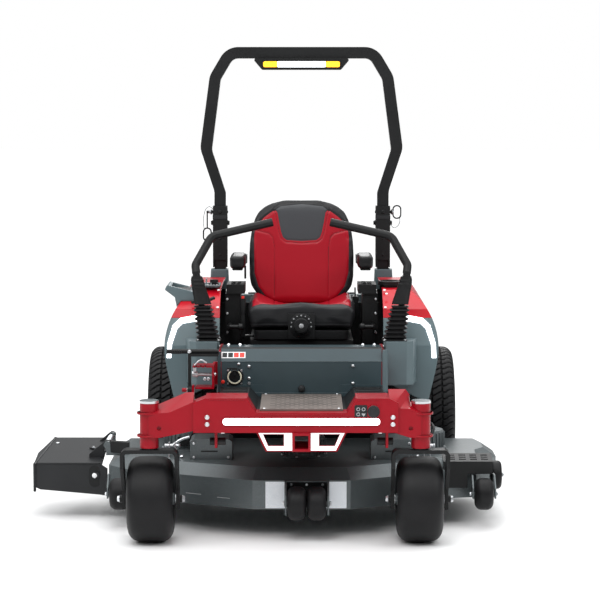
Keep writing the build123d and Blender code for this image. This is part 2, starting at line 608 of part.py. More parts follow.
def make_levers():
    """Lap bars: a stub that tilts on the frame, a boot round it and the swing-out handle bar."""
    pivot_x, pivot_z = LEVER_PIVOT
    lean = (KNUCKLE[0] - pivot_x) / (KNUCKLE[1] - pivot_z)
    for side in (LEFT, RIGHT):
        with BuildPart() as stub:
            bar = [(pivot_x - 8, pivot_z - 18), (pivot_x + 8, pivot_z - 18),
                   (pivot_x + 12 + lean * 232, pivot_z + 232), (pivot_x - 12 + lean * 232, pivot_z + 232)]
            add(along_y(bar, LEVER_Y - 9, LEVER_Y + 9))
            sleeve = [(390, 868), (432, 868), (447, 960), (404, 960)]
            add(along_y(sleeve, LEVER_Y - 17, LEVER_Y + 17))
            rod("y", KNUCKLE, (LEVER_Y - 18, LEVER_Y + 18), 23, mode=Mode.SUBTRACT)
            for y in (LEVER_Y - 22, LEVER_Y + 17):
                ear = [(402, 935), (441, 935), (447, 968), (404, 968)]
                add(along_y(ear, y, y + 5))
                rod("y", KNUCKLE, (y, y + 5), 21)
            rod("y", KNUCKLE, (LEVER_Y - 20, LEVER_Y + 20), 6)
            rod("x", (LEVER_Y, pivot_z), (353, 376), 14)
            rod("x", (LEVER_Y, pivot_z), (339, 377), 8)
        save(for_side(stub.part, side), f"lever_stub_{side_name(side)}")
        tilt = radians(25)
        bar_plane = Plane(origin=(KNUCKLE[0], LEVER_Y - 14, KNUCKLE[1]), x_dir=(1, 0, 0),
                          z_dir=(0, -cos(tilt), sin(tilt)))
        rise = 1 / cos(tilt)
        path = [(1, 30), (5, 58 * rise), (-59, 172 * rise), (-307, 228 * rise)]
        with BuildPart() as lever:
            with BuildLine(bar_plane) as route:
                FilletPolyline(*path, radius=[26, 46])
            with BuildSketch(Plane(origin=route.line @ 0, z_dir=route.line % 0)):
                Circle(17)
            sweep()
            rod("y", KNUCKLE, (LEVER_Y - 16.5, LEVER_Y + 16.5), 22)
            block((KNUCKLE[0] - 14, KNUCKLE[0] + 15), (LEVER_Y - 15, LEVER_Y + 14),
                  (KNUCKLE[1] + 15, KNUCKLE[1] + 34))
            rod("y", KNUCKLE, (LEVER_Y - 30, LEVER_Y + 30), 6 + SHAFT_CLEARANCE,
                mode=Mode.SUBTRACT)
        save(for_side(lever.part, side), f"lap_lever_{side_name(side)}")
        folds = 7
        with BuildPart() as boot:
            for fold in range(2 * folds + 1):
                share = fold / (2 * folds)
                half = 46 - 8 * share - (8 if fold % 2 else 0)
                with BuildSketch(Plane.XY.offset(723 + fold * 9.3)):
                    with Locations((377 + 23 * share, LEVER_Y)):
                        RectangleRounded(2 * half, 2 * half, 10)
                extrude(amount=9.3)
            tunnel = [(350, 720), (398, 720), (423, 866), (378, 866)]
            add(along_y(tunnel, LEVER_Y - 25, LEVER_Y + 25), mode=Mode.SUBTRACT)
        save(for_side(boot.part, side), f"lever_boot_{side_name(side)}")


def make_pedal():
    """Deck lift pedal with its foot bar, and the cut height pin."""
    y, z = PEDAL_PIVOT
    with BuildPart() as pedal:
        rod("x", (y, z), (-448, -432), 18)
        block((-446, -434), (y - 9, y + 9), (z, 715))
        rod("x", (y, 708), (-530, -325), 9)
        block((-438, -325), (y - 22, y + 22), (690, 700))
        block((-530, -470), (y - 18, y + 18), (700, 708))
        rod("x", (y, z), (-449, -431), 8 + SHAFT_CLEARANCE, mode=Mode.SUBTRACT)
    save(pedal.part, "lift_pedal")
    with BuildPart() as pin:
        rod("x", (-1040, 612), (-424, -338), 6)
        rod("x", (-1040, 612), (-432, -410), 12)
        block((-428, -416), (-1046, -1034), (612, 638))
    save(pin.part, "height_pin")


# ---- wheels ----------------------------------------------------------------------------------------
def make_wheels():
    """Drive wheels with rims, caster forks and caster wheels."""
    for side in (LEFT, RIGHT):
        name = side_name(side)
        centre = (side * TRACK_HALF, 0, TYRE_R)
        save(ring_wheel(centre, TYRE_W, TYRE_R, RIM_R, 42, 14), f"rear_tyre_{name}")
        with BuildPart() as rim:
            rod("x", (0, TYRE_R), (385, 645), RIM_R - 0.3)
            rod("x", (0, TYRE_R), (384, 420), RIM_R - 12, mode=Mode.SUBTRACT)
            rod("x", (0, TYRE_R), (428, 646), RIM_R - 12, mode=Mode.SUBTRACT)
            rod("x", (0, TYRE_R), (372, 470), 40)
            rod("x", (0, TYRE_R), (371, 421), 18 + SHAFT_CLEARANCE, mode=Mode.SUBTRACT)
            with Locations(Location((438, 0, TYRE_R), (0, 90, 0))):
                with PolarLocations(62, 5):
                    Cylinder(9, 24)
        save(for_side(rim.part, side), f"rear_rim_{name}")
        pivot, wheel_y = PIVOT_X[side], PIVOT_Y + CASTER_TRAIL
        with BuildPart() as fork:
            add(arch((pivot - 110, pivot + 110), 371, 24, (PIVOT_Y - 34, PIVOT_Y + 34)))
            add(arch((pivot - 97, pivot + 97), 357, 14, (PIVOT_Y - 35, PIVOT_Y + 35)),
                mode=Mode.SUBTRACT)
            block((pivot - 111, pivot + 111), (PIVOT_Y - 40, PIVOT_Y + 40), (-1, 330),
                  mode=Mode.SUBTRACT)
            for x in (pivot - 110, pivot + 97):
                leg = [(PIVOT_Y - 34, 371 - 30), (PIVOT_Y + 34, 371 - 30), (wheel_y + 26, 190),
                       (wheel_y + 26, 128), (wheel_y - 26, 128), (wheel_y - 26, 200),
                       (PIVOT_Y - 34, 300)]
                add(along_x(leg, x, x + 13))
            rod("z", (pivot, PIVOT_Y), (369, 545), STEM_R)
            rod("z", (pivot, PIVOT_Y), (369, 375), 30)
            rod("x", (wheel_y, CASTER_R), (pivot - 120, pivot + 120), 10)
            for x in (pivot - 120, pivot + 110):
                rod("x", (wheel_y, CASTER_R), (x, x + 10), 15)
        save(fork.part, f"caster_fork_{name}")
        with BuildPart() as caster:
            add(ring_wheel((pivot, wheel_y, CASTER_R), CASTER_W, CASTER_R, 76, 34, 12))
            rod("x", (wheel_y, CASTER_R), (pivot - 74, pivot + 74), 75.7)
            for x in (pivot - 75, pivot + 30):
                rod("x", (wheel_y, CASTER_R), (x, x + 45), 62, mode=Mode.SUBTRACT)
            rod("x", (wheel_y, CASTER_R), (pivot - 92, pivot + 92), 22)
            rod("x", (wheel_y, CASTER_R), (pivot - 93, pivot + 93), 10 + SHAFT_CLEARANCE,
                mode=Mode.SUBTRACT)
        save(caster.part, f"caster_wheel_{name}")


# ---- mowing deck -------------------------------------------------------------------------------------
DECK_OUTLINE = [(-780, -360), (-780, -860), (-700, -965), (-600, -1010), (-480, -1090), (-190, -1232),
                (190, -1232), (480, -1070), (575, -990), (700, -965), (758, -900), (762, -720),
                (806, -640), (806, -480), (780, -360)]


def drawn_in(outline, x_scale, y_scale):
    """An outline scaled towards the middle of the deck."""
    middle = (DECK_X, -740)
    return [(middle[0] + (x - middle[0]) * x_scale, middle[1] + (y - middle[1]) * y_scale)
            for x, y in outline]


def tapered(low_outline, z_low, high_outline, z_high):
    """A ruled solid between two outlines with the same number of corners."""
    with BuildPart() as piece:
        with BuildSketch(Plane.XY.offset(z_low)):
            Polygon(*low_outline, align=None)
        with BuildSketch(Plane.XY.offset(z_high)):
            Polygon(*high_outline, align=None)
        loft(ruled=True)
    return piece.part


def make_deck():
    """Deck shell with guards and roller brackets, slotted cover, motors and blades."""
    rim = drawn_in(DECK_OUTLINE, 0.93, 0.86)
    with BuildPart() as shell:
        add(along_z(DECK_OUTLINE, DECK_BOTTOM, SKIRT_TOP))
        add(tapered(DECK_OUTLINE, SKIRT_TOP, rim, DECK_TOP))
        add(along_z(drawn_in(DECK_OUTLINE, 0.992, 0.987), DECK_BOTTOM - 1, SKIRT_TOP - 6),
            mode=Mode.SUBTRACT)
        add(tapered(drawn_in(DECK_OUTLINE, 0.985, 0.975), SKIRT_TOP - 7,
                    drawn_in(DECK_OUTLINE, 0.92, 0.85), DECK_TOP - 5), mode=Mode.SUBTRACT)
        for x, y in SPINDLES.values():
            rod("z", (x, y), (DECK_TOP - 20, DECK_TOP + 2), 30, mode=Mode.SUBTRACT)
        block((-800, -760), (-830, -500), (DECK_BOTTOM - 1, 212), mode=Mode.SUBTRACT)
        # boxed guards over the lift trunnions, ahead of the outer motors
        for side in (LEFT, RIGHT):
            guard = [(side * 277, 258), (side * 445, 258), (side * 445, 335), (side * 430, 345),
                     (side * 292, 345), (side * 277, 335)]
            add(along_y(guard, -985, -830))
        # centre roller bracket on the front of the skirt
        for x in (-64, 100):
            arm = [(-1226, 110), (-1226, 221), (-1300, 221), (-1345, 180), (-1345, 105), (-1290, 105)]
            add(along_x(arm, x, x + 6))
        block((-64, 106), (-1250, -1228), (217, 222))
        rod("x", (-1320, 147), (-66, 108), 8)
        # side roller brackets
        for x_low in (678, 766, -772, -684):
            arm = [(-958, 120), (-958, 204), (-1010, 204), (-1060, 160), (-1060, 118)]
            add(along_x(arm, x_low, x_low + 6))
        rod("x", (-1040, 134), (676, 774), 8)
        rod("x", (-1040, 134), (-774, -676), 8)
        rod("x", (-800, 171), (756, 819), 8)
        # chute hinge lugs and the discharge pin
        for y in (-800, -560):
            block((CHUTE_HINGE[0] - 4, -715), (y, y + 30), (250, DECK_TOP))
            block((CHUTE_HINGE[0] - 4, CHUTE_HINGE[0] + 14), (y, y + 30), (250, 292))
            rod("y", CHUTE_HINGE, (y, y + 30), 14)
            rod("y", CHUTE_HINGE, (y + 30, y + 60), 6)
    save(shell.part, "deck_shell")
    with BuildPart() as cover:
        profile = [(-992, 150), (-988, 150), (-988, 252), (-900, 272), (-900, 276), (-992, 256)]
        add(along_x(profile, 566, 762))
        block((662, 763), (-1000, -980), (140, 206), mode=Mode.SUBTRACT)
        for column in range(4):
            with Locations((600 + column * 44, -945, 266)):
                with GridLocations(1, 22, 1, 3):
                    Box(28, 10, 30, mode=Mode.SUBTRACT)
        block((566, 762), (-988, -960), (212, 216))
        add(along_z(DECK_OUTLINE, DECK_BOTTOM, SKIRT_TOP), mode=Mode.SUBTRACT)
        add(tapered(DECK_OUTLINE, SKIRT_TOP, rim, DECK_TOP), mode=Mode.SUBTRACT)
    save(cover.part, "deck_cover")
    with BuildPart() as motors:
        for x, y in SPINDLES.values():
            rod("z", (x, y), (DECK_TOP, 268), 96)
            rod("z", (x, y), (268, 338), 84)
            rod("z", (x, y), (338, 346), 60)
            rod("z", (x, y), (DECK_TOP - 1, 312), 12.5 + SHAFT_CLEARANCE, mode=Mode.SUBTRACT)
    save(motors.part, "deck_motors")
    for name, (x, y) in SPINDLES.items():
        with BuildPart() as blade:
            bar = [(x - BLADE_R, y - 30), (x + BLADE_R, y - 30), (x + BLADE_R, y + 30),
                   (x - BLADE_R, y + 30)]
            add(along_z(bar, BLADE_Z, BLADE_Z + 6, 8))
            for side in (LEFT, RIGHT):
                lift = [(y + side * 14, BLADE_Z + 5), (y + side * 29, BLADE_Z + 5),
                        (y + side * 29, BLADE_Z + 22), (y + side * 25, BLADE_Z + 22)]
                ends = sorted((x + side * 150, x + side * 245))
                add(along_x(lift, *ends))
            rod("z", (x, y), (BLADE_Z - 10, BLADE_Z + 18), 26)
            rod("z", (x, y), (BLADE_Z, 308), 12.5)
        save(blade.part, f"blade_{name}")


def make_rollers():
    """Anti-scalp rollers of the deck."""
    def roller(x_low, x_high, y, z, radius):
        """One rubber roller with a plain bore for its axle."""
        with BuildPart() as piece:
            rod("x", (y, z), (x_low, x_high), radius)
            fillet(piece.edges().filter_by(GeomType.CIRCLE), 0.36 * (x_high - x_low))
            rod("x", (y, z), (x_low - 1, x_high + 1), 8 + SHAFT_CLEARANCE, mode=Mode.SUBTRACT)
        return piece.part
    with BuildPart() as pair:
        add(roller(-55, 18, -1320, 147, 65))
        add(roller(22, 95, -1320, 147, 65))
        rod("x", (-1320, 147), (18, 22), 18)
        rod("x", (-1320, 147), (17, 23), 8 + SHAFT_CLEARANCE, mode=Mode.SUBTRACT)
    save(pair.part, "centre_rollers")
    save(roller(688, 761, -1040, 134, 63), "side_roller_right")
    save(roller(-761, -688, -1040, 134, 63), "side_roller_left")
    save(roller(770, 814, -800, 171, 58), "side_roller_outer")


def make_chute():
    """The hinged discharge chute: a folded shield with an end wall and a hinge strap."""
    hinge_x, hinge_z = CHUTE_HINGE
    inner = hinge_x - 16
    profile = [(-470, 274), (-850, 224), (-850, 96), (-844, 96), (-844, 220), (-470, 268)]
    with BuildPart() as chute:
        add(along_x(profile, -1085, inner))
        end = [(-470, 268), (-850, 220), (-850, 128), (-800, 150), (-470, 215)]
        add(along_x(end, -1085, -1079))
        corner = [(-1100, -860), (-1086, -700), (-1040, -460), (-1100, -460)]
        add(along_z(corner, 80, 300), mode=Mode.SUBTRACT)
        low_edge = [(-1100, 90), (-1100, 138), (-1060, 118), (inner, 96), (inner, 90)]
        add(along_y(low_edge, -860, -840), mode=Mode.SUBTRACT)
        for y in (-768, -528):
            strap = [(inner - 60, 216), (inner - 60, 250), (hinge_x - 8, hinge_z + 14),
                     (hinge_x + 4, hinge_z + 14), (hinge_x - 13, hinge_z - 8), (inner, 240)]
            add(along_y(strap, y, y + 26))
            rod("y", CHUTE_HINGE, (y, y + 26), 13)
            rod("y", CHUTE_HINGE, (y - 1, y + 27), 6 + SHAFT_CLEARANCE, mode=Mode.SUBTRACT)
        rod("y", (-830, 178), (-856, -849), 12)
    save(chute.part, "discharge_chute")


make_main_frame()
make_front_beam()
make_fasteners()
make_floor()
make_front_panel()
make_fenders()
make_controls()
make_roll_bar()
make_rear()
make_seat()
make_levers()
make_pedal()
make_wheels()
make_deck()
make_rollers()
make_chute()
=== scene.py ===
"""Looks for the zero turn mower: finishes, upholstery, tyres, boots, lamps, small fittings and studio.

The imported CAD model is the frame. Every extra piece is placed in the machine frame (x across,
y back from the drive axle, z up, in millimetres), which is found from the record's wheel joints.
"""

import json
import logging
import math
from dataclasses import dataclass, field
from enum import Enum
from typing import Iterable, Sequence

import bmesh
import bpy
import numpy as np
from mathutils import Matrix, Vector
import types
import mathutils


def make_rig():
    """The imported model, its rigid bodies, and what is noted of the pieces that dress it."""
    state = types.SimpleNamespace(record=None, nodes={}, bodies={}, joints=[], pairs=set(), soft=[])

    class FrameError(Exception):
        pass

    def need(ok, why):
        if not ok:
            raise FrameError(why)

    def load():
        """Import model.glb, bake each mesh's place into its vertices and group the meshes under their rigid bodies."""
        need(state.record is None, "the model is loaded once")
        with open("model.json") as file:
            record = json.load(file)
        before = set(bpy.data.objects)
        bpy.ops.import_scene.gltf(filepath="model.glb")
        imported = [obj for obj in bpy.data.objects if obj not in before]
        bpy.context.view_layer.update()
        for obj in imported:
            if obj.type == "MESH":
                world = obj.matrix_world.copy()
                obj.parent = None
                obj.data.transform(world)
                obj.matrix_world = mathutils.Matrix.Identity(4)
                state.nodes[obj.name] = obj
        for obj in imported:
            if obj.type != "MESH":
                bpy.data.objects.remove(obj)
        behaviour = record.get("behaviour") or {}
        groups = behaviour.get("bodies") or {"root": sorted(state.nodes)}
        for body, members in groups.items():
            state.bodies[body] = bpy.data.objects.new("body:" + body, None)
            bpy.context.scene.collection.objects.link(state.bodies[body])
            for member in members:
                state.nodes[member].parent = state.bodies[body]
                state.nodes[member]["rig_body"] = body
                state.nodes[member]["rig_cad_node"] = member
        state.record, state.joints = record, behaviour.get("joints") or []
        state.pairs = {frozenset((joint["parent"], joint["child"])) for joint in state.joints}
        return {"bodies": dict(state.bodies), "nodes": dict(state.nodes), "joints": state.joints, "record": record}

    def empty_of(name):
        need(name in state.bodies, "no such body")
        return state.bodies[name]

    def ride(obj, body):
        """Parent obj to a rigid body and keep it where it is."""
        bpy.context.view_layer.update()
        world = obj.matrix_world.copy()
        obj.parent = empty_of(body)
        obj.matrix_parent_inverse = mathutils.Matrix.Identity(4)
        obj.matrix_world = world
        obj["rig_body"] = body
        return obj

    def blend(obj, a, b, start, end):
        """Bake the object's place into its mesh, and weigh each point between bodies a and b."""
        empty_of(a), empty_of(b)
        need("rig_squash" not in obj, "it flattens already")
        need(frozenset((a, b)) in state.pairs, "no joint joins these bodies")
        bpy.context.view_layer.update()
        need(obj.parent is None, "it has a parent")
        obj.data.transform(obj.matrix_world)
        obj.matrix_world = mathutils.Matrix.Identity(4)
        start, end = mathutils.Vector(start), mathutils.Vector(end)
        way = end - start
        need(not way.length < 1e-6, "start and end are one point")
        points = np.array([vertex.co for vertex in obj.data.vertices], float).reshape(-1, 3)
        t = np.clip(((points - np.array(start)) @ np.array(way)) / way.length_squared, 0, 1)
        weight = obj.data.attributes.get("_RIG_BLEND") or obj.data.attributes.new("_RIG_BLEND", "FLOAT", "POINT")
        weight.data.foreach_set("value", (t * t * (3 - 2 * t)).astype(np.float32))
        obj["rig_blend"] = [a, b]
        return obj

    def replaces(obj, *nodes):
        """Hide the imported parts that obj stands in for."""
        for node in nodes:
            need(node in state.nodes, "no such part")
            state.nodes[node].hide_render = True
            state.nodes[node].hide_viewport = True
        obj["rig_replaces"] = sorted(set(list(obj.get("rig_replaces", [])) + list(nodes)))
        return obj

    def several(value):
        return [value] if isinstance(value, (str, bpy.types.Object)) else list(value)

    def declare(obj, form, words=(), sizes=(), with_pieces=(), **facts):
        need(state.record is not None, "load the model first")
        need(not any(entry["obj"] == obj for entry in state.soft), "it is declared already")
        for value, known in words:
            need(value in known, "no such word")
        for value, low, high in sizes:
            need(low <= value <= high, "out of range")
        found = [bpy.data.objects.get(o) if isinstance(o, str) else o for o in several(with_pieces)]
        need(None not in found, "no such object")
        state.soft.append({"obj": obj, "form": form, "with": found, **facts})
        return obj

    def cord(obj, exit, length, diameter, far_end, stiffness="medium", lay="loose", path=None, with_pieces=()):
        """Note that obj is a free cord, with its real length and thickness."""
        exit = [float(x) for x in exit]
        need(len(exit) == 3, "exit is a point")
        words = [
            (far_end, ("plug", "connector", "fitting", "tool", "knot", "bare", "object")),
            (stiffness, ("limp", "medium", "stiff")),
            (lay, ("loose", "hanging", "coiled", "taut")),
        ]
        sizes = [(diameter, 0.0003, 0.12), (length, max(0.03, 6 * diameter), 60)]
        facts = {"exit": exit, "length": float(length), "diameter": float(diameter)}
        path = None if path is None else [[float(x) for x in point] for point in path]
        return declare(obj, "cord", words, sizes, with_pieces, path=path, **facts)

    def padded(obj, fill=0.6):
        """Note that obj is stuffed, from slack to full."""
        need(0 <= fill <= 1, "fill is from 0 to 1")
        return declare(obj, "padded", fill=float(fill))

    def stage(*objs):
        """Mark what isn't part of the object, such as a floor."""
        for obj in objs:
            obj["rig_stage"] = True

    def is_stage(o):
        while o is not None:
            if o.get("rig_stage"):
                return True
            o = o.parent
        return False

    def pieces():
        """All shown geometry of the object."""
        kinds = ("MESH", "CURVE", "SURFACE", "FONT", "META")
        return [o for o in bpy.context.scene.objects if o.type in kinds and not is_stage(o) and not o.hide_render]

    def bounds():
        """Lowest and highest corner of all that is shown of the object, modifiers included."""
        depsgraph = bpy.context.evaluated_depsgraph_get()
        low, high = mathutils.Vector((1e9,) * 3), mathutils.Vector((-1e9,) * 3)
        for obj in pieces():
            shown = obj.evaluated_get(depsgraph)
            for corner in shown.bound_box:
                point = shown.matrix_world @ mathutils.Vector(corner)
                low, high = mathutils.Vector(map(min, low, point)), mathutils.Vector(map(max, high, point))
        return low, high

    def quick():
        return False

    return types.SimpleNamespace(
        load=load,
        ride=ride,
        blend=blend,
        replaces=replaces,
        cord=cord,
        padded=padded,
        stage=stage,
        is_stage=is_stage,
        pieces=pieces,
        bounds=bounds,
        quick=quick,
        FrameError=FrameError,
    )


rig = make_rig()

LOG = logging.getLogger("mower")
LEFT, RIGHT = -1, 1
Point = Sequence[float]
Nodes, Links, Socket = bpy.types.Nodes, bpy.types.NodeLinks, bpy.types.NodeSocket


# ---- finishes --------------------------------------------------------------------------------
class Grain(Enum):
    """The small-scale relief of a surface."""

    NONE = "none"
    PEEL = "peel"
    LEATHER = "leather"
    MOULDED = "moulded"
    BRUSHED = "brushed"
    CAST = "cast"
    FLECK = "fleck"


@dataclass(frozen=True)
class Finish:
    """One procedural material: colour, mottling, relief, gloss and rounded edges."""

    name: str
    colour: tuple[float, float, float]
    roughness: float = 0.5
    metallic: float = 0.0
    coat: float = 0.0
    specular: float = 0.5
    mottle: float = 0.12
    mottle_scale: float = 7.0
    grain: Grain = Grain.NONE
    grain_scale: float = 400.0
    grain_depth: float = 0.15
    edge_mm: float = 1.2
    glow: float = 0.0
    accents: tuple[tuple[str, tuple[float, float, float]], ...] = ()

    def build(self) -> bpy.types.Material:
        """Make the node material, or return it if it was made before.

        Returns:
            The Blender material of this finish.
        """
        made = bpy.data.materials.get(self.name)
        if made:
            return made
        made = bpy.data.materials.new(self.name)
        made.use_nodes = True
        made.diffuse_color = (*self.colour, 1.0)
        nodes, links = made.node_tree.nodes, made.node_tree.links
        shader = nodes["Principled BSDF"]
        shader.inputs["Metallic"].default_value = self.metallic
        shader.inputs["Coat Weight"].default_value = self.coat
        shader.inputs["Coat Roughness"].default_value = 0.12
        shader.inputs["Specular IOR Level"].default_value = self.specular
        place = nodes.new("ShaderNodeTexCoord").outputs["Object"]
        cloud = self._noise(nodes, links, place, self.mottle_scale, 6.0)
        links.new(self._tint(nodes, links, place, cloud), shader.inputs["Base Color"])
        gloss = nodes.new("ShaderNodeMapRange")
        gloss.inputs["To Min"].default_value = max(0.03, self.roughness * 0.88)
        gloss.inputs["To Max"].default_value = min(1.0, self.roughness * 1.14)
        links.new(cloud, gloss.inputs["Value"])
        links.new(gloss.outputs["Result"], shader.inputs["Roughness"])
        if self.glow:
            shader.inputs["Emission Color"].default_value = (*self.colour, 1.0)
            shader.inputs["Emission Strength"].default_value = self.glow
        links.new(self._relief(nodes, links, place), shader.inputs["Normal"])
        return made

    @staticmethod
    def _noise(nodes: Nodes, links: Links, place: Socket, scale: float, detail: float) -> Socket:
        """A noise texture's value output.

        Args:
            nodes: The material's nodes.
            links: The material's links.
            place: Where the texture is read.
            scale: Its scale.
            detail: Its detail.

        Returns:
            The texture's value, from 0 to 1.
        """
        noise = nodes.new("ShaderNodeTexNoise")
        noise.inputs["Scale"].default_value = scale
        noise.inputs["Detail"].default_value = detail
        links.new(place, noise.inputs["Vector"])
        return noise.outputs["Fac"]

    def _shade(self, factor: float) -> tuple[float, float, float, float]:
        """The base colour made lighter or darker by a factor."""
        return (*(min(1.0, c * factor) for c in self.colour), 1.0)

    def _tint(self, nodes: Nodes, links: Links, place: Socket, cloud: Socket) -> Socket:
        """The colour output: mottled base, flecks, and panels painted from mesh attributes.

        Args:
            nodes: The material's nodes.
            links: The material's links.
            place: Where the textures are read.
            cloud: The slow mottling, from 0 to 1.

        Returns:
            The colour for the shader.
        """
        ramp = nodes.new("ShaderNodeValToRGB")
        ramp.color_ramp.elements[0].position, ramp.color_ramp.elements[1].position = 0.3, 0.7
        ramp.color_ramp.elements[0].color = self._shade(1 - self.mottle)
        ramp.color_ramp.elements[1].color = self._shade(1 + self.mottle)
        links.new(cloud, ramp.inputs["Fac"])
        colour = ramp.outputs["Color"]
        if self.grain is Grain.FLECK:
            fine = self._noise(nodes, links, place, self.grain_scale, 2.0)
            cut = nodes.new("ShaderNodeMapRange")
            cut.inputs["From Min"].default_value, cut.inputs["From Max"].default_value = 0.52, 0.68
            links.new(fine, cut.inputs["Value"])
            colour = self._mix(nodes, links, cut.outputs["Result"], colour, self._shade(2.1))
        for attribute, accent in self.accents:
            read = nodes.new("ShaderNodeAttribute")
            read.attribute_name = attribute
            step = nodes.new("ShaderNodeMapRange")
            step.inputs["From Min"].default_value = -0.0004
            step.inputs["From Max"].default_value = 0.0004
            links.new(read.outputs["Fac"], step.inputs["Value"])
            colour = self._mix(nodes, links, step.outputs["Result"], colour, (*accent, 1.0))
        return colour

    @staticmethod
    def _mix(nodes: Nodes, links: Links, share: Socket, first: Socket,
             second: tuple[float, float, float, float]) -> Socket:
        """Mix two colours by a share; second is a plain colour.

        Args:
            nodes: The material's nodes.
            links: The material's links.
            share: How much of the second colour shows.
            first: The colour underneath.
            second: The plain colour on top, with alpha.

        Returns:
            The mixed colour.
        """
        mix = nodes.new("ShaderNodeMix")
        mix.data_type = "RGBA"
        links.new(share, mix.inputs["Factor"])
        links.new(first, mix.inputs["A"])
        mix.inputs["B"].default_value = second
        return mix.outputs["Result"]

    def _relief(self, nodes: Nodes, links: Links, place: Socket) -> Socket:
        """The normal output: rounded edges with the grain's bump on top.

        Args:
            nodes: The material's nodes.
            links: The material's links.
            place: Where the grain is read.

        Returns:
            The normal for the shader.
        """
        rounded = nodes.new("ShaderNodeBevel")
        rounded.samples = 4
        rounded.inputs["Radius"].default_value = self.edge_mm / 1000
        normal = rounded.outputs["Normal"]
        if self.grain is Grain.NONE:
            return normal
        if self.grain is Grain.LEATHER:
            cells = nodes.new("ShaderNodeTexVoronoi")
            cells.feature = "SMOOTH_F1"
            cells.inputs["Scale"].default_value = self.grain_scale
            links.new(place, cells.inputs["Vector"])
            height = cells.outputs["Distance"]
        elif self.grain is Grain.BRUSHED:
            stretch = nodes.new("ShaderNodeMapping")
            stretch.inputs["Scale"].default_value = (1.0, 1.0, 0.04)
            links.new(place, stretch.inputs["Vector"])
            height = self._noise(nodes, links, stretch.outputs["Vector"], self.grain_scale, 3.0)
        else:
            height = self._noise(nodes, links, place, self.grain_scale, 3.0)
        bump = nodes.new("ShaderNodeBump")
        bump.inputs["Strength"].default_value = self.grain_depth
        bump.inputs["Distance"].default_value = 0.001
        links.new(height, bump.inputs["Height"])
        links.new(normal, bump.inputs["Normal"])
        return bump.outputs["Normal"]


class Finishes:
    """The finishes used on the mower."""

    CRIMSON = Finish("paint_crimson", (0.275, 0.0018, 0.009), 0.32, coat=0.06, specular=0.18, mottle=0.08,
                     grain=Grain.PEEL, grain_scale=260, grain_depth=0.05)
    SCARLET = Finish("shell_scarlet", (0.47, 0.003, 0.013), 0.28, coat=0.08, specular=0.22, mottle=0.05,
                     grain=Grain.PEEL, grain_scale=200, grain_depth=0.04, edge_mm=5)
    SLATE = Finish("shell_slate", (0.1, 0.14, 0.152), 0.4, coat=0.05, specular=0.3, mottle=0.06,
                   grain=Grain.MOULDED, grain_scale=500, grain_depth=0.06, edge_mm=9)
    PANEL = Finish("paint_panel", (0.036, 0.056, 0.064), 0.36, coat=0.05, specular=0.25, mottle=0.07,
                   grain=Grain.PEEL, grain_scale=300, grain_depth=0.05)
    DECK = Finish("paint_deck", (0.078, 0.092, 0.096), 0.38, metallic=0.3, coat=0.1, mottle=0.1,
                  grain=Grain.FLECK, grain_scale=900, grain_depth=0.12)
    CASE = Finish("cast_grey", (0.1, 0.115, 0.12), 0.45, metallic=0.3, mottle=0.15,
                  grain=Grain.FLECK, grain_scale=700, grain_depth=0.2)
    POWDER = Finish("powder_black", (0.011, 0.0115, 0.012), 0.42, specular=0.2, mottle=0.12,
                    grain=Grain.CAST, grain_scale=520, grain_depth=0.16)
    CHARCOAL = Finish("moulded_charcoal", (0.02, 0.021, 0.0225), 0.46, specular=0.22, mottle=0.1,
                      grain=Grain.MOULDED, grain_scale=420, grain_depth=0.18, edge_mm=3)
    PLASTIC = Finish("plastic_black", (0.009, 0.0094, 0.01), 0.36, specular=0.24, mottle=0.15,
                     grain=Grain.LEATHER, grain_scale=520, grain_depth=0.12, edge_mm=2.5)
    RUBBER = Finish("rubber_black", (0.008, 0.008, 0.0088), 0.5, specular=0.2, mottle=0.22,
                    mottle_scale=11,
                    grain=Grain.CAST, grain_scale=330, grain_depth=0.2, edge_mm=1.5)
    ZINC = Finish("steel_zinc", (0.66, 0.68, 0.7), 0.28, metallic=1.0, mottle=0.12,
                  grain=Grain.BRUSHED, grain_scale=600, grain_depth=0.1, edge_mm=0.6)
    SILVER = Finish("paint_silver", (0.42, 0.43, 0.44), 0.35, metallic=0.7, mottle=0.1,
                    grain=Grain.PEEL, grain_scale=400, grain_depth=0.1)
    TREAD = Finish("plate_bronze_grey", (0.17, 0.145, 0.13), 0.5, metallic=0.45, mottle=0.2,
                   grain=Grain.CAST, grain_scale=420, grain_depth=0.2)
    WHITE_LENS = Finish("lens_white", (0.93, 0.96, 1.0), 0.2, mottle=0.02, glow=3.2,
                        grain=Grain.PEEL, grain_scale=160, grain_depth=0.04)
    AMBER_LENS = Finish("lens_amber", (1.0, 0.42, 0.02), 0.2, mottle=0.04, glow=2.2,
                        grain=Grain.PEEL, grain_scale=160, grain_depth=0.04)
    RED_LENS = Finish("lens_red", (0.6, 0.01, 0.01), 0.15, mottle=0.04, glow=0.4,
                      grain=Grain.PEEL, grain_scale=160, grain_depth=0.04)
    SIGNAL = Finish("plastic_signal_red", (0.8, 0.03, 0.015), 0.35, mottle=0.04,
                    grain=Grain.MOULDED, grain_scale=500, grain_depth=0.06)
    WHITE = Finish("enamel_white", (0.82, 0.83, 0.84), 0.35, mottle=0.04,
                   grain=Grain.PEEL, grain_scale=300, grain_depth=0.05)
    # Painted reflection: a glowing white that stands for light reflected off the gusset plates beside the receiver.
    PAINTED_GLARE = Finish("painted_glare_white", (0.9, 0.92, 0.95), 0.4, mottle=0.03, glow=0.7,
                     grain=Grain.PEEL, grain_scale=900, grain_depth=0.1)
    # Painted reflection: a faintly glowing pale fleck that stands for the softbox light reflected by the deck's front
    # facet.
    PAINTED_REFLECTION = Finish("painted_reflection_fleck", (0.62, 0.66, 0.7), 0.4, metallic=0.2, mottle=0.12, glow=0.12,
                  grain=Grain.FLECK, grain_scale=900, grain_depth=0.15)
    CREAM = Finish("plastic_cream", (0.72, 0.68, 0.52), 0.4, mottle=0.04,
                   grain=Grain.MOULDED, grain_scale=500, grain_depth=0.06)


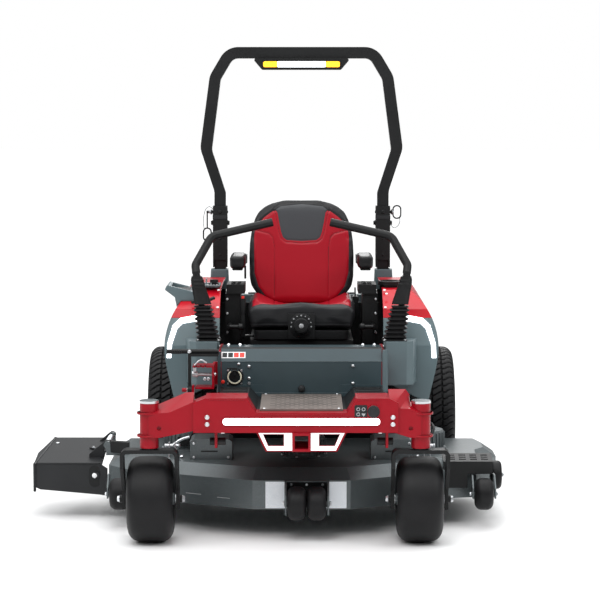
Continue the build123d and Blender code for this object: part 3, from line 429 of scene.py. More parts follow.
# ---- studio ----------------------------------------------------------------------------------
@dataclass
class Studio:
    """The pale floor, the soft lights and the camera."""

    camera_mm: tuple[float, float, float] = (0.0, -9700.0, 1680.0)
    tilt_down: float = 5.1
    yaw: float = 0.039
    lens: float = 132.4
    lights: tuple[tuple[str, tuple, tuple, float, float], ...] = (
        ("key", (-0.6, -3.6, 4.4), (0.1, 0.0, 0.7), 1.8, 62.0),
        ("top", (0.3, 0.6, 4.8), (0.1, 0.2, 0.8), 2.6, 40.0),
        ("side_left", (-3.6, -2.6, 3.4), (0.0, 0.0, 0.8), 1.4, 40.0),
        ("side_right", (3.8, -2.6, 3.4), (0.0, 0.0, 0.8), 1.4, 40.0),
        ("rear", (0.6, 4.8, 2.8), (0.1, 0.3, 0.8), 2.2, 60.0),
    )

    def build(self, machine: "Machine") -> None:
        """Make the floor, world, lights and camera round the machine.

        Args:
            machine: Where the machine stands.
        """
        floor = bpy.data.meshes.new("floor")
        floor.from_pydata([(-70, -70, 0), (70, -70, 0), (70, 70, 0), (-70, 70, 0)], [], [(0, 1, 2, 3)])
        ground = bpy.data.objects.new("floor", floor)
        ground.location.z = -0.0015
        bpy.context.scene.collection.objects.link(ground)
        floor.materials.append(Finish("floor_pale", (0.86, 0.86, 0.86), 0.65, mottle=0.01).build())
        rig.stage(ground)
        self._world()
        for name, place, target, size, power in self.lights:
            self._area(name, place, target, size, power)
        lens = bpy.data.cameras.new("camera")
        lens.lens, lens.sensor_width, lens.clip_end = self.lens, 36.0, 200.0
        eye = bpy.data.objects.new("camera", lens)
        eye.location = machine.at(*self.camera_mm)
        eye.rotation_euler = (math.radians(90 - self.tilt_down), 0.0, math.radians(self.yaw))
        bpy.context.scene.collection.objects.link(eye)
        bpy.context.scene.camera = eye
        bpy.context.scene.view_settings.view_transform = "Standard"

    @staticmethod
    def _world() -> None:
        """A white surround that lights the machine gently."""
        world = bpy.data.worlds.new("world")
        world.use_nodes = True
        nodes, links = world.node_tree.nodes, world.node_tree.links
        soft, seen = nodes["Background"], nodes.new("ShaderNodeBackground")
        soft.inputs["Color"].default_value = (0.99, 0.995, 1.0, 1.0)
        place, split = nodes.new("ShaderNodeTexCoord"), nodes.new("ShaderNodeSeparateXYZ")
        height = nodes.new("ShaderNodeMapRange")
        height.inputs["From Min"].default_value = 0.15
        height.inputs["To Min"].default_value, height.inputs["To Max"].default_value = 0.02, 2.2
        links.new(place.outputs["Generated"], split.inputs["Vector"])
        links.new(split.outputs["Z"], height.inputs["Value"])
        links.new(height.outputs["Result"], soft.inputs["Strength"])
        seen.inputs["Color"].default_value = (1.0, 1.0, 1.0, 1.0)
        path, mix = nodes.new("ShaderNodeLightPath"), nodes.new("ShaderNodeMixShader")
        links.new(path.outputs["Is Camera Ray"], mix.inputs["Fac"])
        links.new(soft.outputs["Background"], mix.inputs[1])
        links.new(seen.outputs["Background"], mix.inputs[2])
        links.new(mix.outputs["Shader"], nodes["World Output"].inputs["Surface"])
        bpy.context.scene.world = world

    @staticmethod
    def _area(name: str, place: Point, target: Point, size: float, power: float) -> None:
        """One square softbox aimed at a point.

        Args:
            name: The light's name.
            place: Where it hangs, in metres.
            target: The point that it faces.
            size: Its side, in metres.
            power: Its power, in watts.
        """
        light = bpy.data.lights.new(name, "AREA")
        light.energy, light.size = power, size
        lamp = bpy.data.objects.new(name, light)
        lamp.location = place
        lamp.rotation_euler = (Vector(target) - Vector(place)).to_track_quat("-Z", "Y").to_euler()
        bpy.context.scene.collection.objects.link(lamp)


# ---- machine frame and CAD finishes -------------------------------------------------------------
@dataclass
class Machine:
    """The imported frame, with the machine's own millimetre axes."""

    frame: dict
    origin: Vector = field(init=False)

    def __post_init__(self) -> None:
        """Find the point on the ground midway between the drive wheels."""
        places = {j["name"]: j.get("pos_m") for j in self.frame["record"]["behaviour"]["joints"]}
        left, right = (Vector(places[f"drive_wheel_{side}_spin"]) for side in ("left", "right"))
        self.origin = (left + right) / 2
        self.origin.z = 0.0

    def at(self, x: float, y: float, z: float) -> Vector:
        """A machine point in millimetres as a row point in metres."""
        return self.origin + Vector((x, y, z)) / 1000

    def paint(self, plan: dict[Finish, Iterable[str]]) -> None:
        """Give CAD nodes their finishes.

        Args:
            plan: The node names for each finish.
        """
        for finish, names in plan.items():
            material = finish.build()
            for name in names:
                slots = self.frame["nodes"][name].data.materials
                slots.clear()
                slots.append(material)


CAD_PLAN: dict[Finish, tuple[str, ...]] = {
    Finishes.CRIMSON: ("main_frame", "front_axle_beam", "rear_guard"),
    Finishes.SCARLET: ("fender_tops",),
    Finishes.SLATE: ("fender_shell_left", "fender_shell_right", "control_console", "rear_hood"),
    Finishes.PANEL: ("front_panel",),
    Finishes.DECK: ("deck_shell",),
    Finishes.CASE: ("deck_motors", "drive_motors", "rear_rim_left", "rear_rim_right"),
    Finishes.POWDER: ("rops_posts", "rops_hoop", "light_bar", "seat_pedestal", "seat_suspension",
                      "caster_fork_left", "caster_fork_right", "lever_stub_left", "lever_stub_right",
                      "lap_lever_left", "lap_lever_right", "lift_pedal", "deck_cover"),
    Finishes.CHARCOAL: ("discharge_chute", "battery_pack"),
    Finishes.PLASTIC: ("floor_pan", "cup_holder", "blade_switch", "rops_pin_left", "rops_pin_right",
                       "charge_port_cap", "seat_pan", "armrest_left",
                       "armrest_right", "suspension_knob"),
    Finishes.RUBBER: ("rear_tyre_left", "rear_tyre_right", "caster_wheel_left", "caster_wheel_right",
                      "centre_rollers", "side_roller_left", "side_roller_right", "side_roller_outer",
                      "lever_boot_left", "lever_boot_right"),
    Finishes.ZINC: ("chassis_fasteners", "height_pin", "key_switch"),
    Finishes.SILVER: ("blade_left", "blade_centre", "blade_right"),
    Finishes.TREAD: ("tread_plate",),
    Finishes.WHITE_LENS: ("lamp_strips",),
    Finishes.SIGNAL: ("buckle_button", "seat_cushion", "seat_backrest"),
}


# ---- mesh building ------------------------------------------------------------------------------
def circle(count: int, radius: float, turn: float = 0.0) -> list[tuple[float, float]]:
    """Points of a circle about the origin."""
    steps = (2 * math.pi * i / count + turn for i in range(count))
    return [(radius * math.cos(a), radius * math.sin(a)) for a in steps]


def rounded_rectangle(half_w: float, half_h: float, corner: float, arc: int = 5) -> list[tuple]:
    """Points of a rounded rectangle about the origin, anticlockwise.

    Args:
        half_w: Half its width.
        half_h: Half its height.
        corner: Radius of its corners, cut to what fits.
        arc: Steps in each corner.

    Returns:
        The points, anticlockwise.
    """
    corner = min(corner, half_w, half_h)
    points = []
    for quarter, (sx, sy) in enumerate(((1, 1), (-1, 1), (-1, -1), (1, -1))):
        for step in range(arc + 1):
            angle = math.radians(90 * quarter + 90 * step / arc)
            points.append((sx * (half_w - corner) + corner * math.cos(angle),
                           sy * (half_h - corner) + corner * math.sin(angle)))
    return points


def frame_of(direction: Vector) -> tuple[Vector, Vector]:
    """Two unit vectors square to a direction and to each other.

    Args:
        direction: The direction, of any length.

    Returns:
        The two unit vectors.
    """
    guide = Vector((0, 0, 1)) if abs(direction.normalized().z) < 0.9 else Vector((0, 1, 0))
    side = direction.cross(guide).normalized()
    return side, direction.cross(side).normalized()


@dataclass
class Form:
    """A mesh being built in machine millimetres, with a current finish for new faces."""

    machine: Machine
    name: str
    finish: Finish
    mesh: bmesh.types.BMesh = field(default_factory=bmesh.new)
    finishes: list[Finish] = field(default_factory=list)

    def use(self, finish: Finish) -> "Form":
        """Change the finish of the faces added from here on."""
        self.finish = finish
        return self

    def loft(self, rings: Sequence[Sequence[Point]], caps: bool = True, loop: bool = False) -> None:
        """Join rings of points with faces.

        Args:
            rings: Closed rings with the same number of points.
            caps: Whether the first and last rings are closed over.
            loop: Whether the last ring joins the first.
        """
        if self.finish not in self.finishes:
            self.finishes.append(self.finish)
        index = self.finishes.index(self.finish)
        made = [[self.mesh.verts.new(tuple(p)) for p in ring] for ring in rings]
        pairs = list(zip(made, made[1:])) + ([(made[-1], made[0])] if loop else [])
        faces = []
        for one, two in pairs:
            for i in range(len(one)):
                j = (i + 1) % len(one)
                faces.append(self.mesh.faces.new((one[i], one[j], two[j], two[i])))
        if caps and not loop:
            faces.append(self.mesh.faces.new(list(reversed(made[0]))))
            faces.append(self.mesh.faces.new(made[-1]))
        for face in faces:
            face.material_index = index

    def lathe(self, start: Point, direction: Point, profile: Sequence[tuple[float, float]],
              sides: int = 40, loop: bool = False) -> None:
        """Turn a profile of (distance, radius) about a line from start along direction.

        Args:
            start: Where the line starts.
            direction: Which way it runs.
            profile: Distances along the line with the radius at each.
            sides: Points round the line.
            loop: Whether the profile closes on itself, which leaves the middle open.
        """
        base, along = Vector(start), Vector(direction).normalized()
        side, up = frame_of(along)
        self.loft([[base + along * d + side * x + up * y for x, y in circle(sides, max(r, 0.05))]
                   for d, r in profile], loop=loop)

    def rod(self, start: Point, end: Point, radius: float, sides: int = 24,
            chamfer: float = 0.8) -> None:
        """Add a cylinder with small chamfers between two points.

        Args:
            start: Centre of one end.
            end: Centre of the other end.
            radius: Its radius.
            sides: Points round it.
            chamfer: Size of the chamfers, cut to what fits.
        """
        along = Vector(end) - Vector(start)
        length, cut = along.length, min(chamfer, radius / 2, along.length / 3)
        self.lathe(start, along, ((0, radius - cut), (cut, radius), (length - cut, radius),
                                  (length, radius - cut)), sides)

    def prism(self, outline: Sequence[Point], shift: Point) -> None:
        """Add the solid between a flat outline and its copy moved by shift."""
        self.loft([[Vector(p) for p in outline], [Vector(p) + Vector(shift) for p in outline]])

    def block(self, low: Point, high: Point) -> None:
        """Add a box between two corners."""
        (a, b, c), (d, e, f) = low, high
        self.prism([(a, b, c), (d, b, c), (d, e, c), (a, e, c)], (0, 0, f - c))

    def plate(self, centre: Point, half_w: float, half_h: float, corner: float, depth: float) -> None:
        """Add a rounded plate that faces the front, from centre backwards by depth.

        Args:
            centre: Middle of its front face.
            half_w: Half its width.
            half_h: Half its height.
            corner: Radius of its corners.
            depth: How thick it is.
        """
        x, y, z = centre
        outline = [(x + a, y, z + b) for a, b in rounded_rectangle(half_w, half_h, corner)]
        self.prism(outline, (0, depth, 0))

    def tube(self, path: Sequence[Point], radius: float, sides: int = 12, smooth: int = 0) -> None:
        """Add a round tube along a path, whose corners are rounded when smooth is above 0.

        Args:
            path: The points that it passes through.
            radius: Its radius.
            sides: Points round it.
            smooth: Steps between each pair of points, or 0 for straight runs.
        """
        points = [Vector(p) for p in path]
        if smooth:
            points = catmull(points, smooth)
        side = frame_of(points[1] - points[0])[0]
        rings = []
        for i, point in enumerate(points):
            along = (points[min(i + 1, len(points) - 1)] - points[max(i - 1, 0)]).normalized()
            side = (side - along * side.dot(along)).normalized()
            up = along.cross(side)
            rings.append([point + side * x + up * y for x, y in circle(sides, radius)])
        self.loft(rings)

    def bolt(self, place: Point, outward: Point, size: float) -> None:
        """Add a flanged hex bolt head whose thread has a given size.

        Args:
            place: Where the flange rests.
            outward: Which way the head faces.
            size: The thread's size.
        """
        base, along = Vector(place), Vector(outward).normalized()
        side, up = frame_of(along)
        self.lathe(place, outward, ((0, size * 1.05), (size * 0.12, size * 1.1),
                                    (size * 0.24, size * 0.9)), 28)
        rings = [[base + along * (size * d) + side * x + up * y
                  for x, y in circle(6, size * r, 0.3)]
                 for d, r in ((0.2, 0.92), (0.62, 0.92), (0.78, 0.78))]
        self.loft(rings)

    def dome(self, place: Point, outward: Point, size: float) -> None:
        """Add a round-headed screw."""
        self.lathe(place, outward, ((0, size), (size * 0.2, size), (size * 0.45, size * 0.8),
                                    (size * 0.6, size * 0.4), (size * 0.62, size * 0.05)), 24)

    def spring(self, start: Point, end: Point, radius: float, wire: float, turns: int) -> None:
        """Add a coil spring between two points.

        Args:
            start: Centre of one end.
            end: Centre of the other end.
            radius: Radius of the coil.
            wire: Radius of the wire.
            turns: Number of turns.
        """
        base, along = Vector(start), Vector(end) - Vector(start)
        side, up = frame_of(along)
        steps = turns * 14
        path = []
        for i in range(steps + 1):
            angle = 2 * math.pi * turns * i / steps
            path.append(base + along * (i / steps) + side * (radius * math.cos(angle))
                        + up * (radius * math.sin(angle)))
        self.tube(path, wire, 8)

    def done(self, body: str | None, bevel_mm: float = 0.7, sharp: float = 38.0,
             subdivide: int = 0) -> bpy.types.Object:
        """Turn the form into an object.

        Args:
            body: The CAD body that it rides on, or None to leave that to the caller.
            bevel_mm: Width of the bevel on its sharp edges, or 0 for none.
            sharp: Edges bent by more degrees than this stay sharp.
            subdivide: Levels of subdivision surface.

        Returns:
            The new object, in the row frame.
        """
        bmesh.ops.recalc_face_normals(self.mesh, faces=self.mesh.faces)
        self.mesh.transform(Matrix.Translation(self.machine.origin) @ Matrix.Scale(0.001, 4))
        data = bpy.data.meshes.new(self.name)
        self.mesh.to_mesh(data)
        self.mesh.free()
        for finish in self.finishes:
            data.materials.append(finish.build())
        data.polygons.foreach_set("use_smooth", [True] * len(data.polygons))
        data.set_sharp_from_angle(angle=math.radians(sharp))
        made = bpy.data.objects.new(self.name, data)
        bpy.context.scene.collection.objects.link(made)
        if bevel_mm:
            bevel = made.modifiers.new("edges", "BEVEL")
            bevel.width, bevel.segments, bevel.limit_method = bevel_mm / 1000, 2, "ANGLE"
            bevel.angle_limit = math.radians(sharp)
        if subdivide:
            made.modifiers.new("smooth", "SUBSURF").render_levels = subdivide
            made.modifiers["smooth"].levels = subdivide
        if body:
            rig.ride(made, body)
        LOG.info("made %s", self.name)
        return made


def catmull(points: Sequence[Vector], steps: int) -> list[Vector]:
    """A smooth line through points, with steps parts between each pair.

    Args:
        points: The points that the line passes through.
        steps: Parts between each pair.

    Returns:
        The points of the line.
    """
    ends = [points[0] * 2 - points[1], *points, points[-1] * 2 - points[-2]]
    line = []
    for a, b, c, d in zip(ends, ends[1:], ends[2:], ends[3:]):
        for i in range(steps):
            t = i / steps
            line.append(0.5 * ((2 * b) + (c - a) * t + (2 * a - 5 * b + 4 * c - d) * t * t
                               + (3 * b - a - 3 * c + d) * t ** 3))
    return [*line, points[-1]]


def distance_inside(points: np.ndarray, outline: Sequence[tuple[float, float]]) -> np.ndarray:
    """How far each 2-D point is inside a closed outline, negative outside.

    Args:
        points: The places, one in each row.
        outline: Corners of the outline.

    Returns:
        One distance for each place.
    """
    shape = np.array(outline, float)
    nearest = np.full(len(points), 1e9)
    inside = np.zeros(len(points), bool)
    for a, b in zip(shape, np.roll(shape, -1, axis=0)):
        edge, offset = b - a, points - a
        share = np.clip(offset @ edge / max(edge @ edge, 1e-9), 0, 1)
        nearest = np.minimum(nearest, np.linalg.norm(offset - share[:, None] * edge, axis=1))
        crosses = (a[1] > points[:, 1]) != (b[1] > points[:, 1])
        rise = (b[1] - a[1]) if b[1] != a[1] else 1e-9
        inside ^= crosses & (points[:, 0] < edge[0] * (points[:, 1] - a[1]) / rise + a[0])
    return np.where(inside, nearest, -nearest)


def distance_to(points: np.ndarray, line: Sequence[tuple[float, float]]) -> np.ndarray:
    """How far each 2-D point is from an open line.

    Args:
        points: The places, one in each row.
        line: Corners of the line.

    Returns:
        One distance for each place.
    """
    shape = np.array(line, float)
    nearest = np.full(len(points), 1e9)
    for a, b in zip(shape, shape[1:]):
        edge, offset = b - a, points - a
        share = np.clip(offset @ edge / (edge @ edge), 0, 1)
        nearest = np.minimum(nearest, np.linalg.norm(offset - share[:, None] * edge, axis=1))
    return nearest


def mirrored(half: Sequence[tuple[float, float]]) -> list[tuple[float, float]]:
    """A closed outline from its right half, given upwards."""
    return [*half, *((-x, z) for x, z in reversed(half))]


# ---- wheels -----------------------------------------------------------------------------------
@dataclass
class DriveTyre:
    """A drive tyre with turf tread: ribbed blocks cut by curved grooves."""

    side: int
    radius: float = 305.0
    half_width: float = 150.0
    bead: float = 152.5
    pitches: int = 64
    groove: float = 8.0
    rows: tuple[float, ...] = (-92, -46, 0, 46, 92)
    centre_x: float = 515.0
    steps_per_pitch: int = 13

    def section(self) -> np.ndarray:
        """The tyre's outline as (x, radius) points from one bead to the other.

        Returns:
            One (x, radius) row for each point.
        """
        shoulder = 42.0
        half = [(0.0, self.radius)]
        half += [(x, self.radius - 3.2 * (x / 108) ** 2) for x in range(3, 107, 3)]
        for step in range(1, 12):
            angle = math.radians(90 * step / 11)
            half.append((self.half_width - shoulder + shoulder * math.sin(angle),
                         self.radius - 3.2 - shoulder + shoulder * math.cos(angle)))
        half += [(self.half_width - 1, 245), (self.half_width, 236), (self.half_width - 4, 232),
                 (self.half_width - 3, 222), (self.half_width - 5, 205), (self.half_width - 10, 188),
                 (self.half_width - 12, 184), (self.half_width - 10, 180), (self.half_width - 14, 168),
                 (self.half_width - 19, 160), (self.half_width - 18, 156), (self.half_width - 24, self.bead)]
        return np.array([(-x, r) for x, r in reversed(half[1:])] + half)

    def height(self, x: np.ndarray, turn: np.ndarray) -> np.ndarray:
        """Share of full tread height at each place, from 0 in a groove to 1 on a block.

        Args:
            x: Places across the tyre.
            turn: Angles round the tyre, in radians.

        Returns:
            One share for each place.
        """
        rib = np.ones_like(x)
        for row in self.rows:
            rib = np.minimum(rib, np.clip((np.abs(x - row) - 1.6) / 1.6, 0, 1))
        column = np.floor((x + 138) / 46)
        sweep = 0.34 * np.cos(x / 46 * math.pi) * np.where(column % 2 > 0, 1, -1) + 0.5 * (column % 2)
        phase = (turn * self.pitches / (2 * math.pi) + sweep) % 1.0
        cross = np.clip((np.abs(phase - 0.5) * 2 - 0.14) / 0.12, 0, 1)
        fade = np.clip((self.half_width - 2 - np.abs(x)) / 12, 0, 1)
        return 1 - (1 - np.minimum(rib, cross)) * fade

    def build(self, machine: Machine) -> bpy.types.Object:
        """Make the tyre and let it stand for its CAD node.

        Args:
            machine: Where the machine stands.

        Returns:
            The tyre, in the row frame.
        """
        word = "right" if self.side == RIGHT else "left"
        section, turns = self.section(), self.steps_per_pitch * self.pitches
        turn = np.repeat(np.arange(turns) * 2 * math.pi / turns, len(section))
        x, r = np.tile(section[:, 0], turns), np.tile(section[:, 1], turns)
        on_tread = r > self.radius - 34
        r = r - np.where(on_tread, self.groove * (1 - self.height(x, turn)), 0.0)
        centre = Vector((self.side * self.centre_x, 0, self.radius))
        points = np.stack([x + centre.x, r * np.sin(turn), r * np.cos(turn) + centre.z], axis=1)
        count = len(section)
        faces = [(a * count + i, a * count + i + 1, b * count + i + 1, b * count + i)
                 for a in range(turns) for b in [(a + 1) % turns] for i in range(count - 1)]
        data = bpy.data.meshes.new(f"tyre_{word}")
        data.from_pydata((points / 1000 + np.array(machine.origin)).tolist(), [], faces)
        data.materials.append(Finishes.RUBBER.build())
        data.polygons.foreach_set("use_smooth", [True] * len(data.polygons))
        data.set_sharp_from_angle(angle=math.radians(50))
        tyre = bpy.data.objects.new(f"tyre_{word}", data)
        bpy.context.scene.collection.objects.link(tyre)
        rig.ride(tyre, f"drive_wheel_{word}")
        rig.replaces(tyre, f"rear_tyre_{word}")
        LOG.info("made %s", tyre.name)
        return tyre


@dataclass
class Wheels:
    """Drive tyres, rim fittings and the caster wheels with their hubs and axles."""

    machine: Machine
    caster_x: dict[int, float] = field(default_factory=lambda: {LEFT: -578.0, RIGHT: 453.0})
    caster_y: float = -1320.0
    caster_r: float = 165.0
    axle_z: float = 305.0

    def build(self) -> None:
        """Make both sides."""
        for side, word in ((LEFT, "left"), (RIGHT, "right")):
            DriveTyre(side).build(self.machine)
            self._rim_fittings(side, word)
            self._caster(side, word)

    def _rim_fittings(self, side: int, word: str) -> None:
        """Wheel nuts, hub cap, valve and a rolled rim edge.

        Args:
            side: LEFT or RIGHT.
            word: The side in words.
        """
        form = Form(self.machine, f"rim_fittings_{word}", Finishes.ZINC)
        for x, y in circle(5, 62, 0.0):
            form.bolt((side * 450, x, self.axle_z + y), (side, 0, 0), 11)
        form.use(Finishes.POWDER)
        form.lathe((side * 468, 0, self.axle_z), (side, 0, 0),
                   ((0, 34), (10, 34), (16, 26), (18, 2)), 40)
        form.lathe((side * 640, 0, self.axle_z), (side, 0, 0),
                   ((0, 151.5), (5, 154), (8, 151), (6, 146), (0, 145)), 64, loop=True)
        form.rod((side * 600, 0, self.axle_z + 134), (side * 632, 0, self.axle_z + 128), 4)
        form.done(f"drive_wheel_{word}")

    def _caster(self, side: int, word: str) -> None:
        """A smooth tyre on a two-part rim, with grease cap and axle nuts.

        Args:
            side: LEFT or RIGHT.
            word: The side in words.
        """
        x, y, r = self.caster_x[side], self.caster_y, self.caster_r
        form = Form(self.machine, f"caster_tyre_{word}", Finishes.RUBBER)
        half = [(0, r), (22, r - 0.4), (44, r - 1.8), (58, r - 5), (68, r - 10), (77, r - 19),
                (84, r - 31), (88, r - 46), (89, r - 58), (87, r - 61), (88, r - 66), (85, r - 76),
                (80, r - 84), (74, r - 88.5)]
        profile = [(-d, q) for d, q in reversed(half[1:])] + half
        form.lathe((x, y, r), (1, 0, 0), [*profile, (60, r - 92), (-60, r - 92)], 96, loop=True)
        tyre = form.done(f"caster_{word}", bevel_mm=0, sharp=60)
        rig.replaces(tyre, f"caster_wheel_{word}")
        hub = Form(self.machine, f"caster_hub_{word}", Finishes.CASE)
        hub.lathe((x, y, r), (1, 0, 0), ((-76, 70), (-78, 76.5), (-72, 76.5), (-60, 62), (-34, 58),
                                         (-30, 24), (-90, 23), (-92, 20), (-92, 10.2), (92, 10.2),
                                         (92, 20), (90, 23), (30, 24), (34, 58), (60, 62),
                                         (72, 76.5), (78, 76.5), (76, 70), (70, 74.5),
                                         (-70, 74.5)), 64, loop=True)
        hub.use(Finishes.ZINC)
        for face in (-1, 1):
            for a, b in circle(4, 46, 0.6):
                hub.bolt((x + face * 33, y + a, r + b), (face, 0, 0), 7)
        hub.done(f"caster_{word}", bevel_mm=0.5)
        axle = Form(self.machine, f"caster_axle_{word}", Finishes.ZINC)
        for face in (-1, 1):
            axle.lathe((x + face * 93, y, r), (face, 0, 0), ((0, 17), (3.5, 17)), 32)
            axle.bolt((x + face * 120, y, r), (face, 0, 0), 13)
        axle.done(f"fork_{word}", bevel_mm=0.4)


# ---- seat ---------------------------------------------------------------------------------------
@dataclass
class Upholstery:
    """A padded piece: swollen by cloth simulation, then creased along its seams."""

    body: str
    node: str
    cap_mm: float = 7.0
    pressure: float = 4.0
    voxel_mm: float = 5.0
    frames: int = 20

    def swell(self, piece: bpy.types.Object) -> None:
        """Remesh the piece, and let cloth under pressure round it by at most cap_mm.

        Args:
            piece: The object to pad.
        """
        remesh = piece.modifiers.new("even", "REMESH")
        remesh.mode, remesh.voxel_size = "VOXEL", self.voxel_mm / 1000
        self._apply(piece)
        rest = self.points(piece)
        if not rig.quick():
            cloth = piece.modifiers.new("swell", "CLOTH")
            cloth.settings.use_pressure = True
            cloth.settings.uniform_pressure_force = self.pressure
            cloth.settings.effector_weights.gravity = 0.0
            cloth.settings.quality = 4
            for step in range(1, self.frames + 1):
                bpy.context.scene.frame_set(step)
            self._apply(piece)
            bpy.context.scene.frame_set(1)
            moved = self.points(piece) - rest
            length = np.linalg.norm(moved, axis=1, keepdims=True)
            cap = self.cap_mm / 1000
            rest = rest + moved * np.minimum(1, cap / np.maximum(length, 1e-9))
        self._set_points(piece, rest)
        ease = piece.modifiers.new("ease", "CORRECTIVE_SMOOTH")
        ease.factor, ease.iterations, ease.use_only_smooth = 0.6, 6, True
        self._apply(piece)
        piece.modifiers.new("fine", "SUBSURF").levels = 1
        piece.modifiers["fine"].render_levels = 1
        self._apply(piece)

    @staticmethod
    def _apply(piece: bpy.types.Object) -> None:
        """Turn the piece's modified shape into its mesh.

        Args:
            piece: The object whose modifiers are used up.
        """
        graph = bpy.context.evaluated_depsgraph_get()
        shaped = bpy.data.meshes.new_from_object(piece.evaluated_get(graph))
        old, piece.data = piece.data, shaped
        piece.modifiers.clear()
        bpy.data.meshes.remove(old)

    @staticmethod
    def points(piece: bpy.types.Object) -> np.ndarray:
        """The piece's vertices as an array.

        Args:
            piece: The object to read.

        Returns:
            One (x, y, z) row for each vertex, in metres.
        """
        flat = np.zeros(len(piece.data.vertices) * 3)
        piece.data.vertices.foreach_get("co", flat)
        return flat.reshape(-1, 3)

    @staticmethod
    def _set_points(piece: bpy.types.Object, points: np.ndarray) -> None:
        """Move the piece's vertices."""
        piece.data.vertices.foreach_set("co", points.ravel())
        piece.data.update()

    def mark(self, piece: bpy.types.Object, attribute: str, value: np.ndarray) -> None:
        """Store one number per vertex for the material's panels, in metres."""
        layer = piece.data.attributes.new(attribute, "FLOAT", "POINT")
        layer.data.foreach_set("value", (value / 1000).astype(np.float32))

    def crease(self, piece: bpy.types.Object, distance: np.ndarray, depth: float,
               width: float = 5.0) -> None:
        """Press a seam into the surface where the distance to its line is small.

        Args:
            piece: The object to crease.
            distance: Each vertex's distance to the line, in millimetres.
            depth: How deep the seam is pressed, in millimetres.
            width: How wide the dip is, in millimetres.
        """
        normals = np.zeros(len(piece.data.vertices) * 3)
        piece.data.vertices.foreach_get("normal", normals)
        push = depth * np.exp(-(distance / width) ** 2)
        points = self.points(piece) - normals.reshape(-1, 3) * push[:, None] / 1000
        self._set_points(piece, points)

    def finish(self, piece: bpy.types.Object, finish: Finish, fill: float) -> None:
        """Give the piece its finish, body and padding.

        Args:
            piece: The finished object.
            finish: Its material.
            fill: How full the padding is.
        """
        piece.data.materials.clear()
        piece.data.materials.append(finish.build())
        piece.data.polygons.foreach_set("use_smooth", [True] * len(piece.data.polygons))
        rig.ride(piece, self.body)
        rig.replaces(piece, self.node)
        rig.padded(piece, fill=fill)


